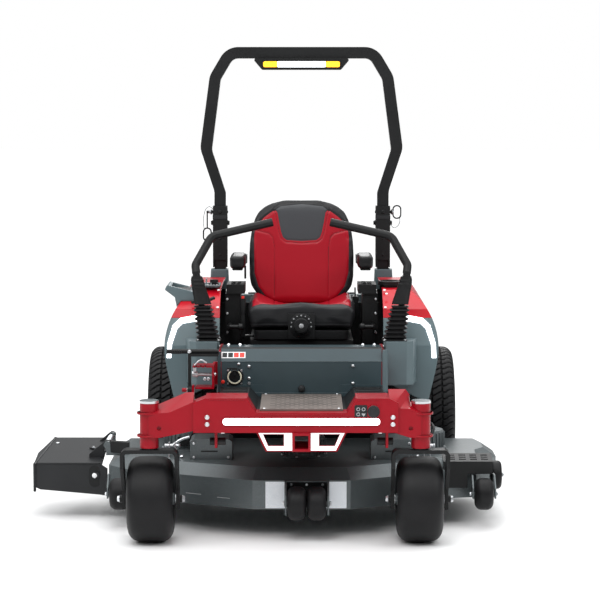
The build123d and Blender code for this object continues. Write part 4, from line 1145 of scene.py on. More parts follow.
@dataclass
class Seat:
    """The suspension seat: cushion, backrest with head insert, armrests and small controls."""

    machine: Machine
    half: float = 228.0
    back_y: float = -199.0
    back_z: float = 850.0
    back_lean: float = 8.0
    vinyl: Finish = Finish("vinyl_seat", (0.014, 0.0145, 0.016), 0.4, coat=0.05, specular=0.24, mottle=0.1,
                           grain=Grain.LEATHER, grain_scale=560, grain_depth=0.14, edge_mm=0.5,
                           accents=(("red", (0.33, 0.0024, 0.012)), ("insert", (0.05, 0.053, 0.058)),
                                    ("seam", (0.012, 0.01, 0.011))))

    red_back = mirrored([(0, 790), (118, 800), (150, 842), (186, 892), (203, 950), (206, 1100),
                         (203, 1128), (188, 1160), (160, 1189), (124, 1215), (112, 1217), (104, 1208),
                         (97, 1167), (88, 1124), (80, 1102), (64, 1090), (0, 1086)])
    insert_back = mirrored([(0, 1086), (64, 1090), (80, 1102), (88, 1124), (97, 1167), (104, 1208),
                            (112, 1222), (90, 1236), (0, 1246)])

    def build(self) -> None:
        """Make every piece of the seat."""
        self._backrest()
        self._cushion()
        self._armrests()
        self._controls()

    def _half_width(self, z: float) -> float:
        """The backrest's half width at a height.

        Args:
            z: The height.

        Returns:
            The half width.
        """
        table = ((812, 130), (824, 150), (845, 180), (870, 206), (892, 218), (930, 226), (1000, 228),
                 (1063, 228), (1124, 219), (1178, 205), (1215, 184), (1243, 152), (1258, 118),
                 (1269, 66))
        return float(np.interp(z, [a for a, _ in table], [b for _, b in table]))

    def _lean(self, z: float | np.ndarray) -> float | np.ndarray:
        """The y of the backrest's front face at a height."""
        return self.back_y + (z - self.back_z) * math.tan(math.radians(self.back_lean))

    def _backrest(self) -> None:
        """The backrest: side wings, dished middle, head insert, seams and a moulded rear shell."""
        form = Form(self.machine, "seat_back", self.vinyl)
        rings = []
        for z in (812, 822, 840, 866, 890, 930, 980, 1030, 1080, 1124, 1160, 1190, 1216, 1238, 1254, 1264,
                  1269):
            wide, face = self._half_width(z) + 5, self._lean(z)
            swell = max(0.25, min(1.0, (1272 - z) / 60, (z - 796) / 40))
            ring = []
            for a, b in rounded_rectangle(wide, 1.0, 0.9, 6):
                share = abs(a) / wide
                front = face - 20 * swell * max(0.0, share - 0.5) * (1.3 - share) * 2 + 8
                back = face + 12 + 64 * swell * (1 - 0.45 * share ** 2)
                y = front + (back - front) * (b + 1) / 2
                ring.append((a, y, z))
            rings.append(ring)
        form.loft(rings)
        piece = form.done(None, bevel_mm=0)
        pad = Upholstery("backrest", "seat_backrest", 7.0, 4.0)
        pad.swell(piece)
        points = (pad.points(piece) - np.array(self.machine.origin)) * 1000
        flat = points[:, (0, 2)]
        depth = points[:, 1] - self._lean(points[:, 2])
        facing = 34 - depth
        red = np.minimum(distance_inside(flat, self.red_back), facing)
        insert = np.minimum(distance_inside(flat, self.insert_back), facing)
        fold = np.abs(flat[:, 0])
        line = distance_to(np.stack([fold, flat[:, 1]], axis=1),
                           [(118, 850), (117, 1060), (124, 1100), (140, 1118), (204, 1134)])
        around = np.abs(distance_inside(flat, self.insert_back) + 9)
        seam = np.where(facing > 0, np.minimum(line, around), 99)
        edge = np.where(facing > 0, np.minimum(np.abs(red), np.abs(insert)), 99)
        pad.mark(piece, "red", red)
        pad.mark(piece, "insert", insert)
        pad.mark(piece, "seam", 0.9 - seam)
        pad.crease(piece, seam, 2.2, 4.0)
        pad.crease(piece, edge, 2.6, 5.0)
        pad.finish(piece, self.vinyl, 0.75)
        shell = Form(self.machine, "seat_back_shell", Finishes.PLASTIC)
        rings = []
        for z in (872, 884, 930, 1000, 1080, 1140, 1180, 1205, 1216):
            wide = (self._half_width(z) - 26) * (0.86 if z in (872, 1216) else 1.0)
            face = self._lean(z) + (66 if z in (872, 1216) else 76)
            rings.append([(a, face + b * 5, z) for a, b in rounded_rectangle(wide, 1.0, 0.9, 6)])
        shell.loft(rings)
        for z in (960, 1000, 1040, 1080):
            shell.tube([(-120, self._lean(z) + 82, z), (0, self._lean(z) + 84, z),
                        (120, self._lean(z) + 82, z)], 4, 10, 6)
        shell.done("backrest", bevel_mm=1.5)

    def _top(self, across: float, y: float) -> float:
        """The height of the cushion's top: deep middle, rising bolsters and a humped front lip.

        Args:
            across: Distance from the centre line.
            y: How far back the place is.

        Returns:
            The height.
        """
        back = min(1.0, max(0.0, (y + 585) / 110))
        rise = min(1.0, max(0.0, (abs(across) - 78) / 128))
        seat = 812 + 58 * rise ** 1.35
        lip = 845 + 9 * math.exp(-(across / 62) ** 2) + 7 * max(0.0, abs(across) / 215 - 0.55)
        return lip + (seat - lip) * back ** 1.2

    def _cushion(self) -> None:
        """The cushion: deep middle, side bolsters, and a deep front lip with a raised centre."""
        form = Form(self.machine, "seat_pad", self.vinyl)
        rings = []
        columns = [math.sin(math.radians(a)) for a in range(-90, 91, 6)]
        for y, share in ((-596, 0.8), (-590, 0.93), (-578, 1.0), (-560, 1.0), (-540, 1.0), (-510, 1.0),
                         (-480, 1.0), (-440, 1.0), (-380, 1.0), (-300, 1.0), (-220, 1.0), (-160, 1.0),
                         (-136, 0.95), (-126, 0.82)):
            wide = (self.half - 6) * (0.97 if share < 0.9 else 1.0)
            low, ring = 752 + 30 * (1 - share), []
            for c in columns:
                fall = 34 * max(0.0, abs(c) - 0.9) / 0.1
                ring.append((c * wide, y, self._top(c * wide, y) - fall * 0.6 - 40 * (1 - share)))
            ring += [(c * wide * (0.96 if abs(c) > 0.98 else 0.975), y, low) for c in reversed(columns)]
            rings.append(ring)
        form.loft(rings)
        piece = form.done(None, bevel_mm=0)
        pad = Upholstery("seat", "seat_cushion", 7.0, 4.0, 6.0)
        pad.swell(piece)
        points = (pad.points(piece) - np.array(self.machine.origin)) * 1000
        flat = points[:, (0, 1)]
        fold = np.abs(flat[:, 0])
        front = -560 - 8 * np.exp(-(flat[:, 0] / 60) ** 2)
        red = np.minimum(np.minimum(206 - fold, flat[:, 1] - front), points[:, 2] - 792)
        red = np.minimum(red, -136 - flat[:, 1])
        above = points[:, 2] > 790
        line = np.where(above, distance_to(np.stack([fold, flat[:, 1]], axis=1),
                                           [(112, -556), (118, -128)]), 99)
        piping = np.where(above, np.abs(red), 99)
        skirt = np.abs(points[:, 2] - 768)
        pad.mark(piece, "red", red)
        pad.mark(piece, "insert", np.full(len(red), -9.0))
        pad.mark(piece, "seam", 0.9 - line)
        pad.crease(piece, line, 2.4, 4.5)
        pad.crease(piece, piping, 2.6, 5.0)
        pad.crease(piece, skirt, 1.4, 3.0)
        pad.finish(piece, self.vinyl, 0.8)

    def _armrests(self) -> None:
        """Rounded armrest pads with an underside tray and pivot cap, in place of the CAD blocks."""
        for side, word in ((LEFT, "left"), (RIGHT, "right")):
            form = Form(self.machine, f"arm_pad_{word}", Finishes.PLASTIC)
            rings = []
            for y, share in ((-400, 0.5), (-396, 0.8), (-384, 0.96), (-350, 1.0), (-250, 1.0),
                             (-160, 0.98), (-136, 0.9), (-129, 0.66)):
                rings.append([(side * (271 + a * share * 0.98), y, 1007 + b * share + (3 if b > 0 else 0))
                              for a, b in rounded_rectangle(34, 27, 17, 6)])
            form.loft(rings)
            form.loft([[(side * (271 + a), y, 980 + b) for a, b in rounded_rectangle(22, 6, 4, 4)]
                       for y in (-380, -150)])
            form.lathe((side * 236, -88, 1005), (side, 0, 0), ((0, 20), (2, 20.5), (10, 20.5),
                                                             (14, 17), (15, 3)), 36)
            form.loft([[(side * 241 + a, -136 + 46 * t, 1005 + b)
                        for a, b in rounded_rectangle(5, 19, 4, 3)] for t in (0.0, 1.0)])
            if side == LEFT:
                form.rod((side * 242, -235, 928), (side * 242, -235, 984), 4.5)
            pad = form.done(f"arm_{word}", bevel_mm=0.8, sharp=42)
            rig.replaces(pad, f"armrest_{word}")
            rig.padded(pad, fill=0.9)

    def _controls(self) -> None:
        """Dial ticks, knob grips, the belt and its retractor, and the buckle's webbing."""
        knob = Form(self.machine, "weight_knob_grip", Finishes.PLASTIC)
        knob.lathe((-1, -612.5, 763), (0, -1, 0), ((0, 50), (4, 50), (5.5, 47)), 56)
        rings = []
        for depth, radius in ((5, 30), (22, 31), (27, 29), (29, 22), (27.5, 12)):
            rings.append([(-1 + (radius + (1.4 if i % 4 < 2 else 0)) * math.cos(i * math.pi / 48),
                           -612.5 - depth, 763 + (radius + (1.4 if i % 4 < 2 else 0))
                           * math.sin(i * math.pi / 48)) for i in range(96)])
        knob.loft(rings)
        knob.use(Finishes.SILVER)
        for i in range(-4, 5):
            angle = math.radians(90 + i * 24)
            x, z = -1 + 42 * math.cos(angle), 763 + 42 * math.sin(angle)
            knob.rod((x, -618, z), (x, -618.6, z), 2.6 if i % 2 else 3.4, 10, 0.1)
        knob.lathe((-1, -639.5, 763), (0, -1, 0), ((0, 10), (1.8, 10), (3, 7.5), (3, 0.1)), 32)
        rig.replaces(knob.done("weight_knob", bevel_mm=0.4), "suspension_knob")
        belt = Form(self.machine, "belt_retractor", Finishes.PLASTIC)
        belt.loft([[(232 + a, y, 806 + b) for a, b in rounded_rectangle(15, 42, 9, 4)]
                   for y in (-196, -150)])
        belt.use(Finishes.CHARCOAL)
        belt.loft([[(232 + a, y, 858 + b) for a, b in rounded_rectangle(3, 26, 1, 2)]
                   for y in (-192, -154)])
        belt.done("seat", bevel_mm=1.5)
        buckle = Form(self.machine, "buckle_case", Finishes.PLASTIC)
        buckle.loft([[(-244 + a * s, -536 + b * s, z) for a, b in rounded_rectangle(11, 12, 4, 3)]
                     for z, s in ((790, 0.6), (806, 0.95), (860, 1.0), (869, 0.94))], caps=False)
        buckle.done("seat", bevel_mm=0)


# ---- levers ---------------------------------------------------------------------------------------
@dataclass
class Levers:
    """Bellows, their flanges, and the collars and grips of the lap bars."""

    machine: Machine
    pleats: int = 7
    base: tuple[float, float, float] = (377.0, -795.0, 723.0)
    top: tuple[float, float, float] = (400.0, -795.0, 862.0)

    def build(self) -> None:
        """Make both sides."""
        for side, word in ((LEFT, "left"), (RIGHT, "right")):
            self._boot(side, word)
            self._fittings(side, word)

    def _boot(self, side: int, word: str) -> None:
        """A square pleated bellows that leans with the lever.

        Args:
            side: LEFT or RIGHT.
            word: The side in words.
        """
        form = Form(self.machine, f"boot_{word}", Finishes.RUBBER)
        rings = []
        shares = [(0.0, 1.04), (0.03, 1.04)]
        for pleat in range(self.pleats):
            for inside, out in ((0.1, 0.74), (0.42, 0.99), (0.52, 1.03), (0.62, 0.99), (0.92, 0.74)):
                shares.append(((pleat + inside) / self.pleats * 0.9 + 0.04, out))
        shares += [(0.955, 0.76), (0.965, 0.9), (0.995, 0.9), (1.0, 0.8)]
        for t, out in shares:
            half = (46 - 8 * t) * out
            x = self.base[0] + (self.top[0] - self.base[0]) * t
            z = self.base[2] + (self.top[2] - self.base[2]) * t
            rings.append([(side * (x + a), self.base[1] + b, z)
                          for a, b in rounded_rectangle(half, half, 11, 5)])
        form.loft(rings)
        boot = form.done(None, bevel_mm=0, sharp=70)
        at = self.machine.at
        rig.blend(boot, "chassis", f"stub_{word}", start=at(side * 379, -795, 728),
                 end=at(side * 398, -795, 856))
        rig.replaces(boot, f"lever_boot_{word}")

    def _fittings(self, side: int, word: str) -> None:
        """The boot's flange with its nuts and the bar's collar.

        Args:
            side: LEFT or RIGHT.
            word: The side in words.
        """
        flange = Form(self.machine, f"boot_flange_{word}", Finishes.POWDER)
        flange.loft([[(side * (377 + a), -795 + b, z) for a, b in rounded_rectangle(50, 50, 10, 4)]
                     for z in (721.5, 725.5)])
        flange.use(Finishes.ZINC)
        for a, b in ((-41, -41), (41, -41), (-41, 41), (41, 41)):
            flange.bolt((side * (377 + a), -795 + b, 725), (0, 0, 1), 6)
        flange.done("chassis", bevel_mm=0.5)
        collar = Form(self.machine, f"bar_collar_{word}", Finishes.POWDER)
        rings = []
        for t, grow in ((0, 0), (0.1, 0), (0.12, 1.5), (0.15, 1.5), (0.17, 0), (0.24, 0), (0.26, 1.5),
                        (0.29, 1.5), (0.31, 0), (0.9, 2), (1.0, 2)):
            x, z = 424 - 26 * t, 981 - 112 * t
            rings.append([(side * (x + a), -797 + 6 * t + b, z) for a, b in
                          rounded_rectangle(22 + 8 * t + grow, 22 + grow, 13, 5)])
        collar.loft(rings)
        collar.done(f"stub_{word}", bevel_mm=0.4)


# ---- lamps, panel and beam ------------------------------------------------------------------------
@dataclass
class FrontEnd:
    """What is fitted to the beam, dash panel, gussets and floor."""

    machine: Machine
    beam_y: float = -1450.0
    panel_y: float = -954.0

    def build(self) -> None:
        """Make the beam, panel, floor and pedal fittings."""
        self._beam()
        self._gussets()
        self._panel()
        self._floor()
        self._pedal()

    def _beam(self) -> None:
        """Lamp bezel, flange bolts, folded lips, a plain symbol plate, and the socket cap."""
        form = Form(self.machine, "beam_fittings", Finishes.CRIMSON)
        y = self.beam_y
        outer = rounded_rectangle(303, 17, 17, 8)
        inner = rounded_rectangle(299, 12, 12, 8)
        form.loft([[(-0.5 + a, y - d, 483 + b) for a, b in ring]
                   for ring, d in ((outer, 0), (outer, 3.0), (inner, 5.2), (inner, 0))], loop=True)
        for x0, x1, z in ((-352, -216, 565), (-160, 168, 510), (214, 296, 565)):
            form.tube([(x0, y - 0.6, z), (x1, y - 0.6, z)], 1.5, 8)
        form.use(Finishes.ZINC)
        for x in (-356, 345):
            for z in (473, 500):
                form.bolt((x, y - 5, z), (0, -1, 0), 8)
        form.use(Finishes.CHARCOAL)
        form.lathe((272, y - 8, 522), (0, -1, 0), ((0, 23), (2, 23.5), (4, 21), (3, 17), (4.5, 14),
                                                   (4.5, 3)), 40)
        form.plate((224, y - 1.2, 521), 24, 25, 6, 1.6)
        form.use(Finishes.SILVER)
        for dx, dz in ((-10, 9), (10, 9), (-10, -10)):
            form.lathe((224 + dx, y - 1.0, 521 + dz), (0, -1, 0), ((0, 7), (0.8, 7), (0.8, 4.6),
                                                                  (0, 4.6)), 24)
        form.prism([(226, y - 1.2, 514), (242, y - 1.2, 514), (234, y - 1.2, 502)], (0, -0.6, 0))
        form.done("chassis", bevel_mm=0.3)
        barrels = Form(self.machine, "barrel_fittings", Finishes.CRIMSON)
        for side, x in ((LEFT, -578), (RIGHT, 453)):
            ring = [(x - side * 27 + a, -1437, 474 + b) for a, b in circle(25, 9.5)]
            barrels.tube(ring, 3.0, 10)
            for z in (424, 510):
                barrels.lathe((x, -1400, z - 3), (0, 0, 1), ((0, 45), (2, 47), (5, 47), (7, 45)), 48)
            barrels.use(Finishes.DECK)
            barrels.lathe((x, -1400, 557), (0, 0, 1), ((0, 36.5), (1.6, 35.5), (2, 30), (1.2, 4)), 48)
            barrels.use(Finishes.PLASTIC)
            barrels.rod((side * 288, -1395, 400), (side * 348, -1395, 400), 14.5)
            barrels.use(Finishes.CRIMSON)
        barrels.done("chassis", bevel_mm=0.3)

    def _gussets(self) -> None:
        """Painted reflection: pale, glowing faces on the plates beside the receiver, standing for the light that they
        reflect.
        """
        form = Form(self.machine, "gusset_painted_glare", Finishes.PAINTED_GLARE)
        for side in (LEFT, RIGHT):
            loops = []
            outer = [(35, 437), (163, 437), (130, 370), (35, 370)]
            inner = [(66, 433), (146, 433), (127, 387), (66, 387)]
            for ring, y in ((outer, -1432), (outer, -1433.4), (inner, -1433.4), (inner, -1432)):
                loops.append([(side * x, y, z) for x, z in ring])
            form.loft(loops, loop=True)
        form.done("chassis", bevel_mm=0)

    def _panel(self) -> None:
        """Edge trim, screws, port surround, a plain symbol strip and the stop button."""
        form = Form(self.machine, "panel_fittings", Finishes.CRIMSON)
        y = self.panel_y
        for side in (LEFT, RIGHT):
            form.block((side * 319.5, y - 0.6, 530), (side * 321.2, y + 3, 653))
        form.use(Finishes.PANEL)
        form.block((-321, y - 8, 506), (321, y + 3, 529))
        for side in (LEFT, RIGHT):
            form.block((side * 154, y - 1.5, 527), (side * 321, y + 3, 560))
        form.block((-335, y + 1, 530), (-321.6, y + 5, 692))
        form.use(Finishes.SLATE)
        form.block((322, y + 2, 528), (345, y + 8, 700))
        form.tube([(-319, y - 0.4, 653), (319, y - 0.4, 653)], 1.3, 8)
        form.use(Finishes.PLASTIC)
        form.prism([(-322, y + 33, 686), (322, y + 33, 686), (322, y + 49, 702), (-322, y + 49, 702)],
                   (0, 4, 3))
        form.use(Finishes.ZINC)
        for x, z in ((-250, 643), (-209, 634), (-209, 586), (205, 636), (205, 566)):
            form.dome((x, y - 4, z), (0, -1, 0), 6)
        form.use(Finishes.CREAM)
        form.lathe((-267, y - 8, 592), (0, -1, 0), ((0, 28.5), (2, 29), (3.6, 27), (3.6, 24),
                                                    (0, 22.8)), 48, loop=True)
        form.use(Finishes.SIGNAL)
        form.lathe((-313, y - 4, 572), (0, -1, 0), ((0, 7), (2, 7.5), (3.5, 5), (3.5, 1)), 24)
        form.use(Finishes.CHARCOAL)
        rim = [(-30, -36), (8, -36), (26, -28), (36, -10), (36, 10), (26, 28), (8, 36), (-30, 36)]
        small = [(a * 0.88, b * 0.88) for a, b in rim]
        form.loft([[(-267 + a, y - d, 592 + b) for a, b in ring]
                   for ring, d in ((rim, 0), (rim, 2.2), (small, 2.2), (small, 0))], loop=True)
        form.prism([(-267 + a, y - 0.8, 592 + b) for a, b in rim], (0, 0.8, 0))
        form.use(Finishes.CHARCOAL)
        form.lathe((0, y, 545), (0, -1, 0), ((0, 14), (8, 14), (12, 11), (18, 10), (20, 7)), 28)
        form.done("chassis", bevel_mm=0.4)
        label = Form(self.machine, "symbol_strip", Finishes.WHITE)
        run, rise = 40.0, 46.0
        unit = Vector((0, run, rise)).normalized()
        outward = Vector((0, -rise, run)).normalized()
        base = Vector((-272, y + 22, 676))

        def put(x0: float, x1: float, low: float, high: float, lift: float) -> None:
            """A thin rectangle on the panel's sloping top.

            Args:
                x0: Left edge.
                x1: Right edge.
                low: Lower edge up the slope.
                high: Upper edge up the slope.
                lift: Height above the slope.
            """
            corners = [base + Vector((x, 0, 0)) + unit * s + outward * lift
                       for x, s in ((x0, low), (x1, low), (x1, high), (x0, high))]
            label.prism(corners, outward * 0.6)

        put(-48, 48, -15, 15, 0.6)
        label.use(Finishes.CHARCOAL)
        for x0 in (-44, -21):
            put(x0, x0 + 19, -11, 11, 1.0)
        label.use(Finishes.SIGNAL)
        for x0 in (2, 25):
            put(x0, x0 + 19, -11, 11, 1.0)
        label.done("chassis", bevel_mm=0)

    def _floor(self) -> None:
        """Painted shade in the tread plate's slots, plate screws, pan studs and the rubber edge of the floor pan."""
        form = Form(self.machine, "floor_fittings", Finishes.ZINC)
        for x in (-142, 142):
            for y in (-1390, -972):
                form.dome((x, y, 524), (0, 0, 1), 6)
        # Painted shade: dark plugs fill the tread plate's slots, where the open slots would show only shade.
        form.use(Finishes.POWDER)
        for row in range(12):
            for column in range(-3, 4):
                x, y = column * 36 + (18 if row % 2 else 0), -1376 + row * 34
                form.loft([[(x + a, y + b, z) for a, b in rounded_rectangle(12, 4, 3, 3)]
                           for z in (521, 524.2)])
        form.use(Finishes.CHARCOAL)
        for x in (-310, -262, 240, 288):
            form.lathe((x, -1345, 552), (0, 0, 1), ((0, 9), (9, 8), (12, 5)), 20)
        for row in range(5):
            for side in (LEFT, RIGHT):
                form.tube([(side * 214, -1330 + row * 78, 553.5), (side * 312, -1330 + row * 78, 553.5)],
                          2.2, 8)
        form.done("chassis", bevel_mm=0.4)

    def _pedal(self) -> None:
        """Foot grip ribs, the quadrant's knobs, the damper rod and its brackets."""
        form = Form(self.machine, "pedal_grip", Finishes.RUBBER)
        for x in range(-522, -474, 9):
            form.block((x, -1096, 708), (x + 4.5, -1064, 712))
        form.use(Finishes.ZINC)
        form.bolt((-449, -1080, 555), (-1, 0, 0), 9)
        form.bolt((-440, -1091, 708), (0, -1, 0), 7)
        form.done("pedal", bevel_mm=0.5)
        damper = Form(self.machine, "lift_damper", Finishes.ZINC)
        damper.rod((-470, -1050, 500), (-400, -1050, 500), 7)
        damper.use(Finishes.PLASTIC)
        damper.rod((-402, -1050, 500), (-352, -1050, 500), 13)
        damper.use(Finishes.ZINC)
        for x in (-380, -366):
            damper.bolt((x, -1092, 600), (0, -1, 0), 6)
        damper.tube([(-420, -1096, 655), (-396, -1098, 676), (-372, -1098, 664)], 4, 10, 4)
        damper.done("chassis", bevel_mm=0.4)


# ---- roll bar and fenders -----------------------------------------------------------------------
@dataclass
class RollBar:
    """Bracket bolts, light bar lenses, locking pin springs and their lanyards."""

    machine: Machine
    lanyards: dict[int, tuple] = field(default_factory=lambda: {
        RIGHT: ((395, 1162), (397, 1142), (411, 1128), (427, 1136), (436, 1154), (436, 1172)),
        LEFT: ((394, 1212), (408, 1222), (424, 1212), (433, 1186), (436, 1152), (432, 1120))})

    def build(self) -> None:
        """Make the roll bar's fittings."""
        lens = Form(self.machine, "beacon_lens", Finishes.WHITE_LENS)
        lens.plate((0, 52.6, 1850), 106, 12.5, 3, 4)
        lens.use(Finishes.AMBER_LENS)
        for side in (LEFT, RIGHT):
            lens.loft([[(side * (137 + a), y, 1850 + b) for a, b in rounded_rectangle(31, 12.5, 7, 5)]
                       for y in (52.6, 57)])
        lens.done("hoop", bevel_mm=0.6)
        frame = Form(self.machine, "beacon_frame", Finishes.POWDER)
        outer, inner = rounded_rectangle(174, 18, 12, 5), rounded_rectangle(169, 13.5, 8, 5)
        frame.loft([[(a, y, 1850 + b) for a, b in ring]
                    for ring, y in ((outer, 58), (outer, 50.5), (inner, 50.5), (inner, 58))], loop=True)
        frame.done("hoop", bevel_mm=0.5)
        for side, word in ((LEFT, "left"), (RIGHT, "right")):
            self._bracket(side, word)
            self._pin(side, word)

    def _bracket(self, side: int, word: str) -> None:
        """Bolts through the bracket, the wear band and the sleeve's bolts.

        Args:
            side: LEFT or RIGHT.
            word: The side in words.
        """
        form = Form(self.machine, f"bracket_fittings_{word}", Finishes.POWDER)
        x = side * 361
        form.bolt((x, 69.5, 1200), (0, -1, 0), 8)
        for z in (1010, 1080):
            form.dome((x, 69.5, z), (0, -1, 0), 5)
        for face in (-1, 1):
            form.bolt((x + face * 33, 103, 1150), (face, 0, 0), 11)
        form.use(Finishes.CHARCOAL)
        form.block((x - 33, 67.5, 1168), (x + 33, 70.5, 1184))
        form.use(Finishes.SLATE)
        form.loft([[(x + side * 3 + a, 103 + b, z) for a, b in rounded_rectangle(w, w + 3, 8, 4)]
                   for z, w in ((858, 41), (905, 40), (945, 38))], caps=False)
        form.loft([[(x + side * 3 + a, 103 + b, z) for a, b in rounded_rectangle(w, w + 3, 7, 4)]
                   for z, w in ((945, 38), (946, 30), (940, 29))], caps=False)
        form.done("chassis", bevel_mm=0.5)

    def _pin(self, side: int, word: str) -> None:
        """The pin's spring and collar, with a thin lanyard from the hoop to its ring.

        Args:
            side: LEFT or RIGHT.
            word: The side in words.
        """
        form = Form(self.machine, f"pin_spring_{word}", Finishes.ZINC)
        form.spring((side * 397, 103, 1198), (side * 411, 103, 1198), 8, 1.1, 4)
        form.rod((side * 402, 103, 1186), (side * 402, 103, 1210), 2.4, 12)
        form.done(f"lock_pin_{word}", bevel_mm=0)
        self._lanyard(side, word)

    def _lanyard(self, side: int, word: str) -> None:
        """A thin coated wire that keeps the pin on the hoop.

        Args:
            side: LEFT or RIGHT.
            word: The side in words.
        """
        points = [Vector((side * x, 94, z)) for x, z in self.lanyards[side]]
        line = catmull(points, 8)
        form = Form(self.machine, f"lanyard_{word}", Finishes.CASE)
        form.tube(line, 1.3, 10)
        wire = form.done(None, bevel_mm=0)
        path = [self.machine.at(*p) for p in line]
        length = sum((Vector(b) - Vector(a)).length for a, b in zip(path, path[1:]))
        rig.cord(wire, exit=path[0], length=round(length, 4), diameter=0.0026, far_end="object",
                stiffness="stiff", lay="loose", path=path)
        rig.blend(wire, "hoop", f"lock_pin_{word}", start=path[0], end=path[-1])


@dataclass
class Fenders:
    """Screws, switch plate, cup rim, lever, tower bolts and cables round the seat."""

    machine: Machine

    def build(self) -> None:
        """Make the fender and tower fittings."""
        form = Form(self.machine, "fender_fittings", Finishes.WHITE)
        for side, places in ((RIGHT, ((345, -560, 905), (352, -600, 893), (430, -600, 884),
                                      (345, -655, 842), (420, -652, 842))),
                             (LEFT, ((345, -560, 905), (395, -590, 896), (345, -655, 842),
                                     (400, -652, 842)))):
            for x, y, z in places:
                form.dome((side * x, y, z), (0, -0.5, 1), 6)
        form.use(Finishes.CASE)
        form.block((-398, -562, 922), (-342, -478, 925))
        form.use(Finishes.SILVER)
        for column in range(4):
            form.block((-393 + column * 12, -556, 925), (-385 + column * 12, -522, 927))
        form.use(Finishes.PLASTIC)
        for column in range(3):
            form.block((-393 + column * 17, -512, 925), (-380 + column * 17, -486, 930))
        form.tube([(-452, -640, 862), (-420, -655, 868), (-385, -650, 872), (-360, -632, 880)], 7, 12, 5)
        form.block((-539, -589, 903), (-463, -421, 907.5))
        form.lathe((372, -430, 926), (0, 0, 1), ((0, 49), (5, 51), (9, 49), (10, 44), (5, 42.5)), 48,
                   loop=True)
        form.done("chassis", bevel_mm=0.8)
        tower = Form(self.machine, "tower_bolts", Finishes.ZINC)
        for side in (LEFT, RIGHT):
            for z in (560, 640, 720, 800, 860):
                tower.bolt((side * 312, -470, z), (0, -1, 0), 5)
            for x in (297, 250):
                tower.bolt((side * x, -770, 700), (0, -1, 0.4), 6)
        tower.use(Finishes.PLASTIC)
        for side in (LEFT, RIGHT):
            tower.rod((side * 300, -468, 752), (side * 300, -560, 752), 9)
            tower.rod((side * 300, -560, 752), (side * 262, -560, 752), 9)
            tower.lathe((side * 262, -560, 752), (-side, 0, 0), ((0, 14), (16, 15), (22, 10)), 24)
        tower.block((-358, -22, 560), (358, -17, 806))
        for side in (LEFT, RIGHT):
            tower.block((side * 350, -21, 617), (side * 392, -18, 806))
        tower.block((-330, -348, 236), (330, -343, 434))
        for side in (LEFT, RIGHT):
            tower.block((side * 206, -462, 600), (side * 258, -458, 658))
        for x in (-110, 130):
            tower.tube([(x, -590, 644), (x + 20, -640, 624), (x - 30, -600, 600), (x, -566, 584)],
                       6, 10, 6)
        tower.done("chassis", bevel_mm=0.4)


